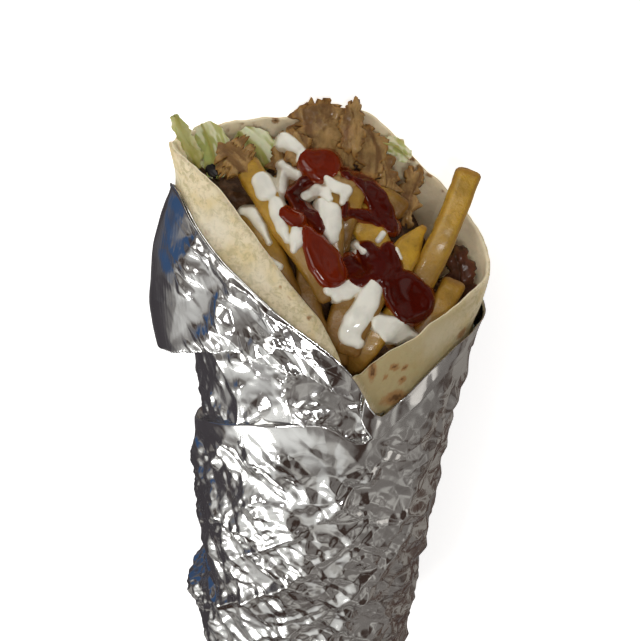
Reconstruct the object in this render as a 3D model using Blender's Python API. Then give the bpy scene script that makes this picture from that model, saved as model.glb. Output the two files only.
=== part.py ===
"""A kebab wrap in foil, lying on its back with its open mouth towards +Y.

The flatbread is a tapered sleeve, shut at the tail, whose left flap laps over the
right one in front (+Z). The foil is a crumpled sleeve round it with a loose collar
on the left. The filling leans out of the mouth on a slope that faces up and
towards +Y: chips, sliced meat and lettuce with thick red and white sauce.
All lengths are in metres. A station is a distance from the tail towards the mouth.
"""

import bmesh
import bpy
import numpy as np

MM = 0.001

# The wrap's place in the part's frame
TAIL_Y = -121.7 * MM
AXIS_X = 5.85 * MM

# Sections of the sleeve: half widths and half depths of the bread's outside
TAIL_HALF_WIDTH = 35 * MM
MOUTH_HALF_WIDTH = 50 * MM
MOUTH_STATION = 200 * MM
TAIL_HALF_DEPTH = 28 * MM
BELLY_HALF_DEPTH = 37 * MM
BELLY_STATION = 120 * MM
LIP_HALF_DEPTH = 25 * MM
LIP_FROM, LIP_TO = 150 * MM, 240 * MM
TAIL_ROUNDING = 30 * MM
TAIL_END_WIDTH, TAIL_END_DEPTH = 0.35, 0.25
WAIST_DEPTH, WAIST_STATION, WAIST_SPREAD = 5 * MM, 143 * MM, 34 * MM
TAPER_DEPTH, TAPER_STATION, TAPER_SPREAD = 2.5 * MM, 85 * MM, 30 * MM
PINCH_DEPTH, PINCH_STATION, PINCH_SPREAD = 2.2 * MM, 146 * MM, 26 * MM
UNDERSIDE = 1.6 * MM
UNDERSIDE_CUT = 1.5 * MM

# Walls and gaps
BREAD_WALL = 2.8 * MM
FOIL_GAP = 0.7 * MM
FOIL_WALL = 0.9 * MM
TAIL_GAP = 1.2 * MM
PIECE_GAP = 0.4 * MM
FILLING_GAP = 1.0 * MM
LAP_HEIGHT = 2.2 * MM

COLUMNS = 48
CORE_COLUMNS = 40

# Edges as (angle in degrees from the front towards the right, station in mm)
BREAD_RIM = (
    (-175, 236), (-165, 233), (-140, 231), (-100, 232), (-80, 235), (-62, 234), (-50, 231),
    (-40, 227), (-20, 211), (0, 193), (10, 181), (20, 186), (40, 193), (60, 198.5),
    (90, 200), (110, 204), (130, 210), (150, 219.5), (172, 236),
)
FOIL_RIM = (
    (-180, 190), (-140, 196), (-110, 203), (-90, 209), (-72, 215), (-60, 212), (-40, 207),
    (-20, 197), (0, 186.5), (17, 170), (30, 173.5), (50, 184), (70, 189), (100, 186), (150, 184),
)
COLLAR_HEM = (
    (-165, 150), (-130, 150), (-90, 162), (-70, 171), (-50, 177.5), (-30, 182), (-10, 180), (4, 176),
)
FRONT_FOLD = ((-150, 118), (-90, 134), (-60, 150), (-30, 161), (0, 165), (12, 161), (20, 164), (60, 150), (150, 118))
FILL_DROP = ((-180, 8), (-120, 7), (-90, 10), (-45, 18), (0, 16), (20, 11), (60, 15), (90, 18), (130, 14), (155, 9))

COLLAR_TIP = 6
COLLAR_BACK = -172
COLLAR_FLARE = 8.5 * MM

# The slope that the filling lies on: it rises towards +Y and faces the diner
SLOPE_TILT = np.radians(36)
SLOPE_ORIGIN = np.array([0, 205 * MM, 40 * MM])
SLOPE_ACROSS = np.array([1.0, 0.0, 0.0])
SLOPE_UP = np.array([0.0, np.cos(SLOPE_TILT), -np.sin(SLOPE_TILT)])
SLOPE_OUT = np.array([0.0, np.sin(SLOPE_TILT), np.cos(SLOPE_TILT)])
CORE_CENTRE = (0, 10, -7)
CORE_SWELL = 3 * MM

# Pieces on the slope. Each row: points of its middle line as (across, up, above) in mm,
# then its half width and half thickness in mm.
CHIPS = (
    (((-31, 28, 2), (-23, 17, 6), (-16, 7, 9), (-7, -4, 10), (0, -13, 7)), 4.2, 3.6),
    (((-27, 12, 5), (-22, 4, 7), (-17, -5, 8), (-12, -15, 7)), 4.2, 3.6),
    (((-8, -2, 4), (-7, -14, 6), (-3, -25, 5), (1, -33, 1)), 4.0, 3.8),
    (((5, -6, 5), (4, -15, 6), (2, -24, 5), (3, -33, 1)), 4.0, 3.6),
    (((21, -15, 2), (15, -22, 4), (11, -28, 3), (7, -34, -2)), 4.0, 3.6),
    (((16, -3, 3), (12, -12, 6), (8, -21, 7), (6, -29, 4)), 4.2, 3.8),
    (((27, 12, -3), (22, 4, -1), (19, -4, 0), (17, -12, -4)), 4.6, 3.6),
    (((5, 15, -4), (10, 9, -2), (14, 2, -1), (19, -5, -4)), 4.8, 3.8),
    (((8, 21, -8), (15, 19, -7), (21, 16, -8)), 3.8, 3.4),
    (((5, 23, -1), (4, 16, 0), (2, 9, 0), (1, 1, -3)), 3.4, 3.2),
    (((-3, 19, 1), (-2, 11, 4), (-1, 4, 4), (-2, -5, 1)), 3.8, 3.6),
    (((26, -6, -3), (22, -15, -2), (18, -22, -2), (14, -29, -5)), 4.2, 3.8),
)
MEATS = (
    (((-7.5, 48, -9), (-7, 40, -10), (-7, 31, -10)), 7.0, 3.4),
    (((0, 44, -12), (0, 37, -12), (0, 27, -11)), 5.0, 2.8),
    (((-17, 37, -6), (-14, 31, -4), (-9, 26, -3)), 4.4, 4.8),
    (((-36, 31, 1), (-31, 26, 2), (-26, 22, 1)), 5.5, 2.4),
    (((-19, 34, -7), (-16, 25, -5), (-12, 16, -5)), 5.5, 2.4),
    (((-4, 23, 0), (1, 22, 1), (6, 23, -2)), 3.4, 2.6),
    (((-4, 2, -3), (4, 5, -4), (10, -2, -4)), 6.0, 3.0),
)
LETTUCE = (
    (((-33, 37, -10), (-27, 32, -8), (-23, 26, -8)), 6.0, 1.4),
    (((-25, 8, 2), (-19, -1, 3), (-14, -8, 3)), 5.0, 1.4),
)
SAUCES = (
    (((-11, 35, 1), (-6, 31, 3), (-1, 27, 2)), 5.6, 3.2),
    (((-10, 21, 3), (-6, 17, 4), (-3, 12, 4), (-4, 7, 5), (3, 3, 5)), 3.4, 2.4),
    (((-8, 6, 12), (-1, -3, 14), (5, -10, 11)), 6.4, 4.4),
    (((-16, 14, 10), (-11, 9, 11)), 3.6, 2.6),
    (((7, 24, -2), (12, 19, -2), (15, 14, -2), (19, 7, -3)), 3.2, 2.6),
    (((5, 3, 1), (12, -3, 8), (16, -2, 7), (19, -9, 6)), 5.6, 3.0),
    (((19, -6, 3), (24, -13, 5), (28, -18, 3)), 7.0, 4.0),
    (((3, 13, 1), (9, 12, 2), (15, 9, 0)), 3.0, 2.2),
    (((-19, 36, -2), (-16, 32, 1), (-12, 28, 1.5)), 4.6, 3.2),
    (((-17, 26, -3), (-16, 19, -1), (-12, 14, 1)), 3.8, 3.0),
    (((-26, 20, 7), (-20, 13, 9)), 4.8, 3.0),
    (((-19, 12, 10), (-14, 5, 11)), 4.4, 2.8),
    (((-12, 4, 12), (-9, -2, 12)), 4.2, 2.6),
    (((-3, 18, 4), (-1, 11, 7), (-1, 4, 6)), 4.2, 2.6),
    (((14, -7, 8), (11, -13, 10), (8, -20, 10), (6, -25, 7)), 4.2, 2.8),
    (((15, -14, 3), (20, -19, 4), (25, -21, 1)), 5.2, 3.6),
    (((1, -10, 10), (6, -12, 8)), 4.0, 2.8),
    (((-7, 19, 4), (-1, 20, 5), (4, 22, 4), (5, 18, 3)), 2.6, 2.0),
)
# Pieces that stand clear of the heap, each a solid of its own
CLEAR_PIECES = {
    "chip_long": (((37, 29, 2), (34, 16, 1), (30, 2, -1), (24, -12, -6)), 4.3, 4.0),
    "chip_right": (((38, -4, -5), (35, -11, -4), (31.5, -19, -4), (27, -26, -6)), 4.2, 3.4),
    "meat_charred": (((37.5, 6, -13), (40, -1, -13.5), (41, -8, -13.5), (39.5, -14, -14)), 4.8, 1.8),
    "meat_blade": (((2, 49.5, -4.5), (2.5, 41, -5), (3, 32, -5)), 4.0, 2.0),
    "meat_side_inner": (((13, 32, -10), (15, 26, -10), (14, 19, -10)), 4.2, 1.8),
    "meat_side_outer": (((24, 31, -16), (22, 22, -14), (22, 12, -12)), 3.6, 1.8),
    "lettuce_rib": (((-52, 38.5, 6.5), (-47, 31, 5.5), (-43, 24, 3)), 2.4, 1.6),
    "lettuce_leaf": (((-42, 37.5, -4), (-38, 31, -3), (-35.5, 23, -2)), 4.4, 1.0),
    "lettuce_curl": (((12, 37.5, -11), (17, 36.5, -12), (21, 33, -13)), 2.8, 1.4),
}

COLOURS = {
    "bread": ((0.80, 0.70, 0.48), 0.75, 0.0),
    "foil": ((0.80, 0.80, 0.81), 0.22, 1.0),
    "filling": ((0.52, 0.34, 0.14), 0.45, 0.0),
    "chip": ((0.70, 0.46, 0.10), 0.50, 0.0),
    "meat": ((0.36, 0.22, 0.13), 0.55, 0.0),
    "lettuce": ((0.55, 0.66, 0.30), 0.45, 0.0),
}


def clear_scene():
    for item in list(bpy.data.objects):
        bpy.data.objects.remove(item)


def material(name):
    found = bpy.data.materials.get(name)
    if found:
        return found
    colour, roughness, metallic = COLOURS[name]
    made = bpy.data.materials.new(name)
    made.use_nodes = True
    shader = made.node_tree.nodes["Principled BSDF"]
    shader.inputs["Base Color"].default_value = (*colour, 1)
    shader.inputs["Roughness"].default_value = roughness
    shader.inputs["Metallic"].default_value = metallic
    made.diffuse_color = (*colour, 1)
    return made


def ease(low, high, value):
    """0 at low, 1 at high, with a smooth start and end."""
    share = np.clip((value - low) / (high - low), 0, 1)
    return share * share * (3 - 2 * share)


def hump(centre, spread, value):
    return np.exp(-(((value - centre) / spread) ** 2))


def around(knots, angle):
    """A value that follows knots of (degrees, mm) round the wrap, with its corners slightly rounded."""
    degrees, values = np.array(knots, float).T
    near = [np.interp(angle + turn, degrees, values, period=360) for turn in (-3, 0, 3)]
    return np.mean(near, axis=0) * MM


def tail_round(station, left_over):
    """The share of a section's size that is left as the sleeve rounds off at its tail."""
    share = np.clip(station / TAIL_ROUNDING, 0, 1)
    return left_over + (1 - left_over) * np.sqrt(1 - (1 - share) ** 2.2)


def half_width(station):
    straight = TAIL_HALF_WIDTH + (MOUTH_HALF_WIDTH - TAIL_HALF_WIDTH) * station / MOUTH_STATION
    waist = WAIST_DEPTH * hump(WAIST_STATION, WAIST_SPREAD, station)
    taper = TAPER_DEPTH * hump(TAPER_STATION, TAPER_SPREAD, station)
    return (straight - waist - taper) * tail_round(station, TAIL_END_WIDTH)


def half_depth(station):
    swell = (BELLY_HALF_DEPTH - TAIL_HALF_DEPTH) * ease(0, BELLY_STATION, station)
    lip = (BELLY_HALF_DEPTH - LIP_HALF_DEPTH) * ease(LIP_FROM, LIP_TO, station)
    return (TAIL_HALF_DEPTH + swell - lip) * tail_round(station, TAIL_END_DEPTH)


def wrap_points(angle, station, offset):
    """Points on the sleeve's section, offset outwards from the bread's outside.

    A section is an oval, pinched on the left, and cut flat along its underside.
    """
    angle, station, offset = np.broadcast_arrays(angle, station, offset)
    turn = np.radians(angle)
    pinch = PINCH_DEPTH * hump(PINCH_STATION, PINCH_SPREAD, station) * np.clip(-np.sin(turn), 0, 1)
    across = (half_width(station) + offset - pinch) * np.sin(turn)
    middle = half_depth(station) + UNDERSIDE - UNDERSIDE_CUT
    height = middle + (half_depth(station) + offset) * np.cos(turn)
    floor = UNDERSIDE - np.minimum(offset, FOIL_GAP + FOIL_WALL)
    return np.stack([across, station, np.maximum(height, floor)], axis=-1)


def lap(angle, station):
    """How far the left flap stands over the right one: full at its edge, fading to the left and under the foil."""
    edge = 10 - (station / MM - 181) * 0.9
    behind = edge - angle
    return LAP_HEIGHT * ease(-2, 5, behind) * (1 - ease(30, 80, behind)) * ease(158 * MM, 172 * MM, station)


def lap_cover(angle, station):
    """How far the foil stands off the bread to clear the flap's edge, wherever that edge runs."""
    front = ease(30, 17, angle) * (1 - ease(60, 115, 10 - angle))
    return LAP_HEIGHT * front * ease(138 * MM, 156 * MM, station)


def facets(across, along, columns, seed):
    """Heights from 0 to 1 of a crumpled sheet: the highest of many pyramids that stand, turned by chance, on a loose grid."""
    chance = np.random.default_rng(seed)
    rows = 64
    shift_x, shift_y, turn, peak = chance.random((4, columns, rows))
    best = np.full(np.shape(across), -9.0)
    column, row = np.floor(across).astype(int), np.floor(along).astype(int)
    for step_x in (-1, 0, 1):
        for step_y in (-1, 0, 1):
            i, j = (column + step_x) % columns, (row + step_y) % rows
            gone_x = across - (column + step_x) - shift_x[i, j]
            gone_y = along - (row + step_y) - shift_y[i, j]
            side = turn[i, j] * 2 * np.pi
            ways = [gone_x * np.cos(side + way) + gone_y * np.sin(side + way) for way in (0, 1.7, 3.1, 4.6)]
            best = np.maximum(best, 0.6 * peak[i, j] - np.maximum.reduce(ways))
    return np.clip((best + 0.8) / 1.4, 0, 1)


def tail_gap(angle, station):
    """Extra room round the bread's rounded tail, everywhere but underneath."""
    return TAIL_GAP * (1 - ease(0, 45 * MM, station)) * (1 - ease(110, 140, np.abs(angle)))


def foil_relief(angle, station):
    """How far the crumpled foil stands off the bread: flat underneath, rougher towards the tail."""
    columns = 17
    across = (np.asarray(angle) / 360 + 0.5) * columns
    creased = facets(across, station / (15 * MM), columns, seed=4)
    depth = (3.4 - 1.6 * ease(90 * MM, 170 * MM, station)) * MM
    under = 1 - ease(118, 150, np.abs(angle))
    front_layer = 0.8 * MM * ease(0, 3 * MM, around(FRONT_FOLD, angle) - station)
    bulge = 4.5 * MM * hump(-88, 26, angle) * hump(52 * MM, 11 * MM, station)
    shoulder = 3.5 * MM * hump(-88, 40, angle) * hump(112 * MM, 22 * MM, station)
    near_rim = ease(0, 14 * MM, around(FOIL_RIM, angle) - station)
    return under * (creased * depth * near_rim + front_layer + bulge + shoulder)


def mesh_object(name, points, faces, finish):
    mesh = bpy.data.meshes.new(name)
    mesh.from_pydata(points.tolist(), [], faces)
    mesh.materials.append(material(finish))
    mesh.shade_smooth()
    item = bpy.data.objects.new(name, mesh)
    bpy.context.scene.collection.objects.link(item)
    return item


def closed_loft(name, rings, finish):
    """A closed solid through rings of points, with its first and last ring closed on a middle point."""
    count, around_ring = rings.shape[:2]
    points = np.concatenate([rings.reshape(-1, 3), [rings[0].mean(0)], [rings[-1].mean(0)]])
    first, last = count * around_ring, count * around_ring + 1
    faces = []
    for k in range(around_ring):
        after = (k + 1) % around_ring
        faces.append((first, after, k))
        for r in range(count - 1):
            low, high = r * around_ring, (r + 1) * around_ring
            faces.append((low + k, low + after, high + after, high + k))
        top = (count - 1) * around_ring
        faces.append((top + k, top + after, last))
    corners = np.array([triangle for face in faces for triangle in fan(face)])
    if np.linalg.det(points[corners]).sum() < 0:
        faces = [face[::-1] for face in faces]
    return mesh_object(name, points, faces, finish)


def fan(face):
    return [(face[0], face[i], face[i + 1]) for i in range(1, len(face) - 1)]


def column_angles(count):
    return np.arange(count) * 360 / count - 180


def make_foil_sleeve():
    angle = column_angles(COLUMNS)
    rim = around(FOIL_RIM, angle)
    outer_shares = np.concatenate([[0, 0.015, 0.045, 0.085], np.linspace(0.135, 1, 15)])
    inner_shares = np.concatenate([np.linspace(1, 0.17, 12), [0.11, 0.055, 0.02, 0]])
    rings = []
    for share in outer_shares:
        station = share * rim
        wall = FOIL_GAP + FOIL_WALL + tail_gap(angle, station)
        rings.append(wrap_points(angle, station, wall + lap_cover(angle, station) + foil_relief(angle, station)))
    for share in inner_shares:
        station = 1.0 * MM + share * (rim - 1.0 * MM)
        gap = FOIL_GAP + tail_gap(angle, station)
        rings.append(wrap_points(angle, station, gap + lap_cover(angle, station)))
    return closed_loft("foil", np.array(rings), "foil")


def collar_flare(angle):
    """How far the loose collar stands off the sleeve: most at the left, nothing in front and underneath."""
    return COLLAR_FLARE * ease(-42, -95, angle) * ease(COLLAR_BACK, -118, angle)


def make_foil_collar():
    """The outer turn of foil: a thin band round the left whose torn hem hangs clear of the sleeve."""
    angle = np.linspace(COLLAR_BACK, COLLAR_TIP, 36)
    rim, hem = around(FOIL_RIM, angle), around(COLLAR_HEM, angle)
    sides = []
    for skin in (0.45 * MM, 1.5 * MM):
        for share in (0, 0.33, 0.67, 1) if skin < MM else (1, 0.67, 0.33, 0):
            station = hem + share * (rim - hem - 0.5 * MM)
            offset = FOIL_GAP + lap_cover(angle, station) + skin + collar_flare(angle)
            sides.append(wrap_points(angle, station, offset))
    rings = np.array(sides).transpose(1, 0, 2)
    return closed_loft("foil_collar", rings, "foil")


def make_flatbread():
    angle = column_angles(COLUMNS)
    rim = around(BREAD_RIM, angle)
    first, inner_first = 3.2 * MM, 7.5 * MM
    rings = []
    for share in np.concatenate([[0, 0.02, 0.055, 0.10], np.linspace(0.16, 0.995, 11)]):
        station = first + share * (rim - first)
        rings.append(wrap_points(angle, station, lap(angle, station)))
    rings.append(wrap_points(angle, rim + 0.6 * MM, lap(angle, rim) / 2 - BREAD_WALL / 2))
    for share in np.concatenate([np.linspace(0.995, 0.16, 7), [0.08, 0.03, 0]]):
        station = inner_first + share * (rim - inner_first)
        rings.append(wrap_points(angle, station, -BREAD_WALL))
    return closed_loft("flatbread", np.array(rings), "bread")


def slope_points(places):
    """Points given as (across, up, above) in mm on the filling's slope."""
    across, up, above = (np.array(places, float) * MM).T[:, :, None]
    return SLOPE_ORIGIN + across * SLOPE_ACROSS + up * SLOPE_UP + above * SLOPE_OUT


def make_core():
    """The mass of filling inside the sleeve, up to an uneven top under the loose pieces."""
    angle = column_angles(CORE_COLUMNS)
    brim = around(BREAD_RIM, angle) - around(FILL_DROP, angle)
    first = 11 * MM
    inset = -(BREAD_WALL + FILLING_GAP + PIECE_GAP)
    rings = []
    for share in np.concatenate([[0, 0.02, 0.06, 0.12], np.linspace(0.2, 1, 8)]):
        rings.append(wrap_points(angle, first + share * (brim - first), inset))
    centre = slope_points([CORE_CENTRE])[0]
    brim_ring = rings[-1]
    chance = np.random.default_rng(11)
    for share in (0.82, 0.6, 0.38, 0.18):
        lift = CORE_SWELL * 4 * share * (1 - share) + chance.uniform(-1, 1, (len(angle), 1)) * MM
        rings.append(centre + (brim_ring - centre) * share + SLOPE_OUT * lift)
    return closed_loft("filling", np.array(rings), "filling")


def tuck(rings):
    """Pulls in what would reach into the bread, up to just past its rim."""
    across, station, height = np.moveaxis(rings, -1, 0)
    inset = BREAD_WALL + FILLING_GAP
    middle = half_depth(station) + UNDERSIDE - UNDERSIDE_CUT
    pinch = PINCH_DEPTH * hump(PINCH_STATION, PINCH_SPREAD, station) * (across < 0)
    wide, deep = half_width(station) - inset - pinch, half_depth(station) - inset
    reach = np.hypot(across / wide, (height - middle) / deep)
    angle = np.degrees(np.arctan2(across / wide, (height - middle) / deep))
    held = (reach > 1) & (station < around(BREAD_RIM, angle) + 4 * MM)
    pull = np.where(held, 1 / np.maximum(reach, 1), 1)
    height = np.where(held, middle + (height - middle) * pull, height)
    return np.stack([across * pull, station, np.maximum(height, UNDERSIDE + inset)], axis=-1)


def curve_through(points, count):
    """A smooth line through the points, as a cubic between each two of them."""
    slopes = np.gradient(points, axis=0)
    places = np.linspace(0, len(points) - 1, count)
    start = np.minimum(places.astype(int), len(points) - 2)
    t = (places - start)[:, None]
    a, b, da, db = points[start], points[start + 1], slopes[start], slopes[start + 1]
    return a * (1 + 2 * t) * (1 - t) ** 2 + b * t * t * (3 - 2 * t) + da * t * (1 - t) ** 2 - db * t * t * (1 - t)


def swept(line, half_width_mm, half_thick_mm, corners, squareness, grow=0.0, facing=SLOPE_OUT):
    """Rings of points along a line: ovals, or rounded oblongs where squareness is over 0."""
    along = np.gradient(line, axis=0)
    along /= np.linalg.norm(along, axis=1, keepdims=True)
    side = np.cross(facing, along)
    side /= np.linalg.norm(side, axis=1, keepdims=True)
    normal = np.cross(along, side)
    turn = (np.arange(corners) + 0.5) * 2 * np.pi / corners
    power = 1 - squareness
    flat = np.sign(np.cos(turn)) * np.abs(np.cos(turn)) ** power
    tall = np.sign(np.sin(turn)) * np.abs(np.sin(turn)) ** power
    wide = (half_width_mm * MM + grow)[:, None, None] * flat[:, None]
    thick = (half_thick_mm * MM + grow)[:, None, None] * tall[:, None]
    ends = np.zeros((len(line), 1))
    ends[0], ends[-1] = -grow, grow
    return (line + along * ends)[:, None] + side[:, None] * wide + normal[:, None] * thick


def chip_rings(places, half_wide, half_thick, grow=0.0):
    line = curve_through(slope_points(places), 5)
    line = np.concatenate([line[:1], line[:1] * 0.88 + line[1:2] * 0.12, line[1:-1], line[-2:-1] * 0.12 + line[-1:] * 0.88, line[-1:]])
    size = np.ones(len(line))
    size[[0, -1]] = 0.78
    return swept(line, half_wide * size, half_thick * size, corners=8, squareness=0.5, grow=grow)


def slice_rings(places, half_wide, half_thick, seed, grow=0.0):
    """A cut slice of meat: flat, with an uneven outline and ridges across it."""
    chance = np.random.default_rng(seed)
    line = curve_through(slope_points(places), 7)
    share = np.linspace(0, 1, 7)
    outline = (0.55 + 0.45 * np.sin(np.pi * share) ** 0.5) * chance.uniform(0.82, 1.12, 7)
    thickness = (0.7 + 0.3 * np.sin(np.pi * share)) * chance.uniform(0.8, 1.1, 7)
    line = line + SLOPE_OUT * chance.uniform(-0.5, 0.5, (7, 1)) * MM
    return swept(line, half_wide * outline, half_thick * thickness, corners=8, squareness=0.35, grow=grow)


def sauce_rings(places, half_wide, half_thick):
    """A thick run of sauce: round, fat in the middle, and drawn in at its ends."""
    line = curve_through(slope_points(places), 6)
    share = np.linspace(0.06, 0.94, 6)
    size = np.sin(np.pi * share) ** 0.45
    return swept(line, half_wide * size, half_thick * size, corners=8, squareness=0.0)


def joined(base, others, operation, solver):
    """Base with the other objects added to it or cut from it, and the others removed."""
    group = bpy.data.collections.new("operands")
    bpy.context.scene.collection.children.link(group)
    for item in others:
        group.objects.link(item)
        bpy.context.scene.collection.objects.unlink(item)
    boolean = base.modifiers.new("boolean", "BOOLEAN")
    boolean.operation = operation
    boolean.operand_type = "COLLECTION"
    boolean.collection = group
    boolean.solver = solver
    boolean.material_mode = "TRANSFER"
    bpy.context.view_layer.update()
    shaped = bpy.data.meshes.new_from_object(base.evaluated_get(bpy.context.evaluated_depsgraph_get()))
    base.modifiers.remove(boolean)
    base.data = shaped
    for item in others:
        bpy.data.objects.remove(item)
    bpy.data.collections.remove(group)
    return base


def keep_main_shell(item):
    """Drops the loose scraps and sealed hollows that a union leaves."""
    bm = bmesh.new()
    bm.from_mesh(item.data)
    left, shells = set(bm.faces), []
    while left:
        front = [left.pop()]
        shell = set(front)
        while front:
            face = front.pop()
            near = {other for edge in face.edges for other in edge.link_faces} & left
            left -= near
            shell |= near
            front.extend(near)
        shells.append(shell)
    shells.sort(key=len)
    scraps = [face for shell in shells[:-1] for face in shell]
    bmesh.ops.delete(bm, geom=scraps, context="FACES")
    bm.to_mesh(item.data)
    bm.free()
    return item


def make_filling():
    core = make_core()
    parts = []
    for k, row in enumerate(CHIPS):
        parts.append(closed_loft(f"chip_{k}", tuck(chip_rings(*row)), "chip"))
    for k, row in enumerate(MEATS):
        parts.append(closed_loft(f"meat_{k}", tuck(slice_rings(*row, seed=20 + k)), "meat"))
    for k, row in enumerate(LETTUCE):
        parts.append(closed_loft(f"leaf_{k}", tuck(slice_rings(*row, seed=40 + k)), "lettuce"))
    for k, row in enumerate(SAUCES):
        parts.append(closed_loft(f"sauce_{k}", tuck(sauce_rings(*row)), "filling"))
    joined(core, parts, "UNION", "MANIFOLD")
    pockets = [closed_loft(f"pocket_{name}", clear_piece_rings(name, PIECE_GAP), "filling") for name in CLEAR_PIECES]
    joined(core, pockets, "DIFFERENCE", "MANIFOLD")
    return keep_main_shell(core)


def clear_piece_rings(name, grow=0.0):
    row = CLEAR_PIECES[name]
    if name.startswith("chip"):
        return chip_rings(*row, grow=grow)
    return slice_rings(*row, seed=len(name), grow=grow)


def make_clear_pieces():
    return [closed_loft(name, clear_piece_rings(name), name.split("_")[0]) for name in CLEAR_PIECES]


def make_foil():
    return keep_main_shell(joined(make_foil_sleeve(), [make_foil_collar()], "UNION", "EXACT"))


def place(items):
    """Moves everything from the wrap's own stations into the part's frame."""
    for item in items:
        item.location = (AXIS_X, TAIL_Y, 0)


def main():
    clear_scene()
    place([make_foil(), make_flatbread(), make_filling(), *make_clear_pieces()])


main()
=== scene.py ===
"""A kebab wrap in foil, dressed for its picture.

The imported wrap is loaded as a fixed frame. Each of its solids is replaced by pieces
with the real forms and finishes: crumpled foil in its layers, the rolled flatbread,
chips, sliced meat, lettuce, and thick white and red sauce. Shapes are worked out in
millimetres along the wrap: a station is a distance from the tail towards the mouth,
and an angle runs round the wrap from its front towards its right.
"""

import bpy
import numpy as np
from mathutils import Matrix


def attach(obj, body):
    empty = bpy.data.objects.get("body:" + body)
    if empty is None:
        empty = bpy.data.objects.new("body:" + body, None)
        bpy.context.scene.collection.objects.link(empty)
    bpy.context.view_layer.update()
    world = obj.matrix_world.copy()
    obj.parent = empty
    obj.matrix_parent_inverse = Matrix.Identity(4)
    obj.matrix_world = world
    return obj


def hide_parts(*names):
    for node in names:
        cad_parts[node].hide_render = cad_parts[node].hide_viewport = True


bl_info = {
    "name": "Kebab wrap dresser",
    "version": (1, 0, 0),
    "blender": (4, 5, 0),
    "location": "3D View > Sidebar > Kebab wrap",
    "description": "Builds the foil, bread, filling and sauces of a kebab wrap on its packed solids",
    "category": "Object",
}

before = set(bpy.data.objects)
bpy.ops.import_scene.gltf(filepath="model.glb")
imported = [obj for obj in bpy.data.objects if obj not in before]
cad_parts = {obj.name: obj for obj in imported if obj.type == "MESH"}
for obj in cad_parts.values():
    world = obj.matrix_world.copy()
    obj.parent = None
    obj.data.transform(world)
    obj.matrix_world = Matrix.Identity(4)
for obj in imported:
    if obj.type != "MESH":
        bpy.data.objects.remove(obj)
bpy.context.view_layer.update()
MM = 0.001

# Where station 0 on the wrap's middle line lies in the part's frame, in mm
PLACE = np.array([5.85, -121.7, 0.0])

# Half the sleeve's width at its tail and its mouth, the mouth's station, and the tail's rounding, in mm
TAIL_HALF_WIDTH, MOUTH_HALF_WIDTH, MOUTH_STATION, TAIL_ROUNDING = 35, 50, 200, 30

# Where the foil presses the wrap in: depth, station and spread in mm
PINCHES_LEFT = ((2.2, 146, 26), (2.2, 168, 17), (1.8, 225, 11), (1.8, 75, 10), (2.4, 14, 9))
PINCH_RIGHT = (1.7, 181, 13)

# The left flap's edge: its angle and station where the flaps meet, its lean in degrees for each mm up,
# and its step in mm
FLAP_ANGLE, FLAP_STATION, FLAP_LEAN, FLAP_STEP = 10, 181, 0.9, 2.2

# How many mm of the unrolled foil, and of the bread's toasted spots, one degree round the wrap takes
MM_PER_DEGREE, SPOT_MM_PER_DEGREE = 0.78, 0.8

# The slope that the filling lies on: it rises towards the mouth and faces the diner
SLOPE_TILT = np.radians(36)
SLOPE_ORIGIN = np.array([0, 205.0, 40.0])
SLOPE_ACROSS = np.array([1.0, 0.0, 0.0])
SLOPE_UP = np.array([0.0, np.cos(SLOPE_TILT), -np.sin(SLOPE_TILT)])
SLOPE_OUT = np.array([0.0, np.sin(SLOPE_TILT), np.cos(SLOPE_TILT)])

# Edges as (angle in degrees, station in mm)
BREAD_RIM = (
    (-175, 236), (-165, 233), (-140, 231), (-100, 232), (-80, 235), (-62, 234), (-50, 231),
    (-40, 227), (-20, 211), (0, 192.5), (7, 182.5), (10, 175.5), (13, 180.5), (20, 186), (40, 193),
    (60, 198.5), (90, 200), (110, 204), (130, 210), (150, 219.5), (172, 236),
)
FOIL_RIM = (
    (-180, 190), (-140, 200), (-110, 211), (-90, 219), (-72, 223.5), (-62, 222.5), (-52, 216.5), (-40, 210),
    (-28, 204), (-12, 195.8), (3, 187.8), (11, 181), (15, 176), (19, 169), (24, 169.8), (30, 173.2),
    (39, 179), (54, 185), (72, 188), (100, 186), (150, 184),
)
COLLAR_HEM = (
    (-165, 151), (-130, 152.5), (-90, 164.4), (-70, 172), (-51, 178.4), (-32, 184), (-14, 182.5),
    (-3, 181.2), (5, 177),
)
SLEEVE_FOLD = (
    (-150, 117), (-90, 134.8), (-54, 153.2), (-30, 162), (-8, 166.8), (3, 167.2), (9, 164), (13, 160.5),
    (20, 163), (32, 167), (50, 176.5), (70, 180.5), (100, 177.5), (150, 150),
)
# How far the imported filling's brim lies below the bread's rim, as (angle in degrees, mm)
FILL_DROP = (
    (-180, 8), (-120, 7), (-90, 10), (-45, 18), (0, 16), (20, 11), (60, 16), (90, 25),
    (115, 26), (132, 22), (155, 12),
)

# Long folds of the sleeve: start and end on the unrolled foil (across, along), half width and height, in mm
LONG_FOLDS = (
    ((-38, 62), (18, 122), 3.4, 1.6), ((-20, 52), (26, 100), 4.2, 1.4), ((-30, 96), (12, 138), 2.6, 1.1),
    ((8, 60), (40, 118), 4.6, 1.5), ((-52, 120), (-30, 158), 3.2, 1.0), ((30, 112), (52, 166), 5.0, 1.0),
    ((2, 130), (24, 152), 2.4, 1.0), ((-12, 70), (6, 84), 2.2, 0.9), ((-28, 40), (4, 66), 3.2, 1.3),
)

# The distance between the teeth of the collar's torn hem, in mm
TOOTH = 1.35

# How the collar's stand off the bread changes from its hem (0) to its rim (1), as shares of its flare
COLLAR_STAND_AT = (0, 0.3, 0.56, 0.73, 0.83, 0.93, 1)
COLLAR_STAND = (1.12, 0.98, 0.66, 0.38, 0.22, 0.04, 0.0)

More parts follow.
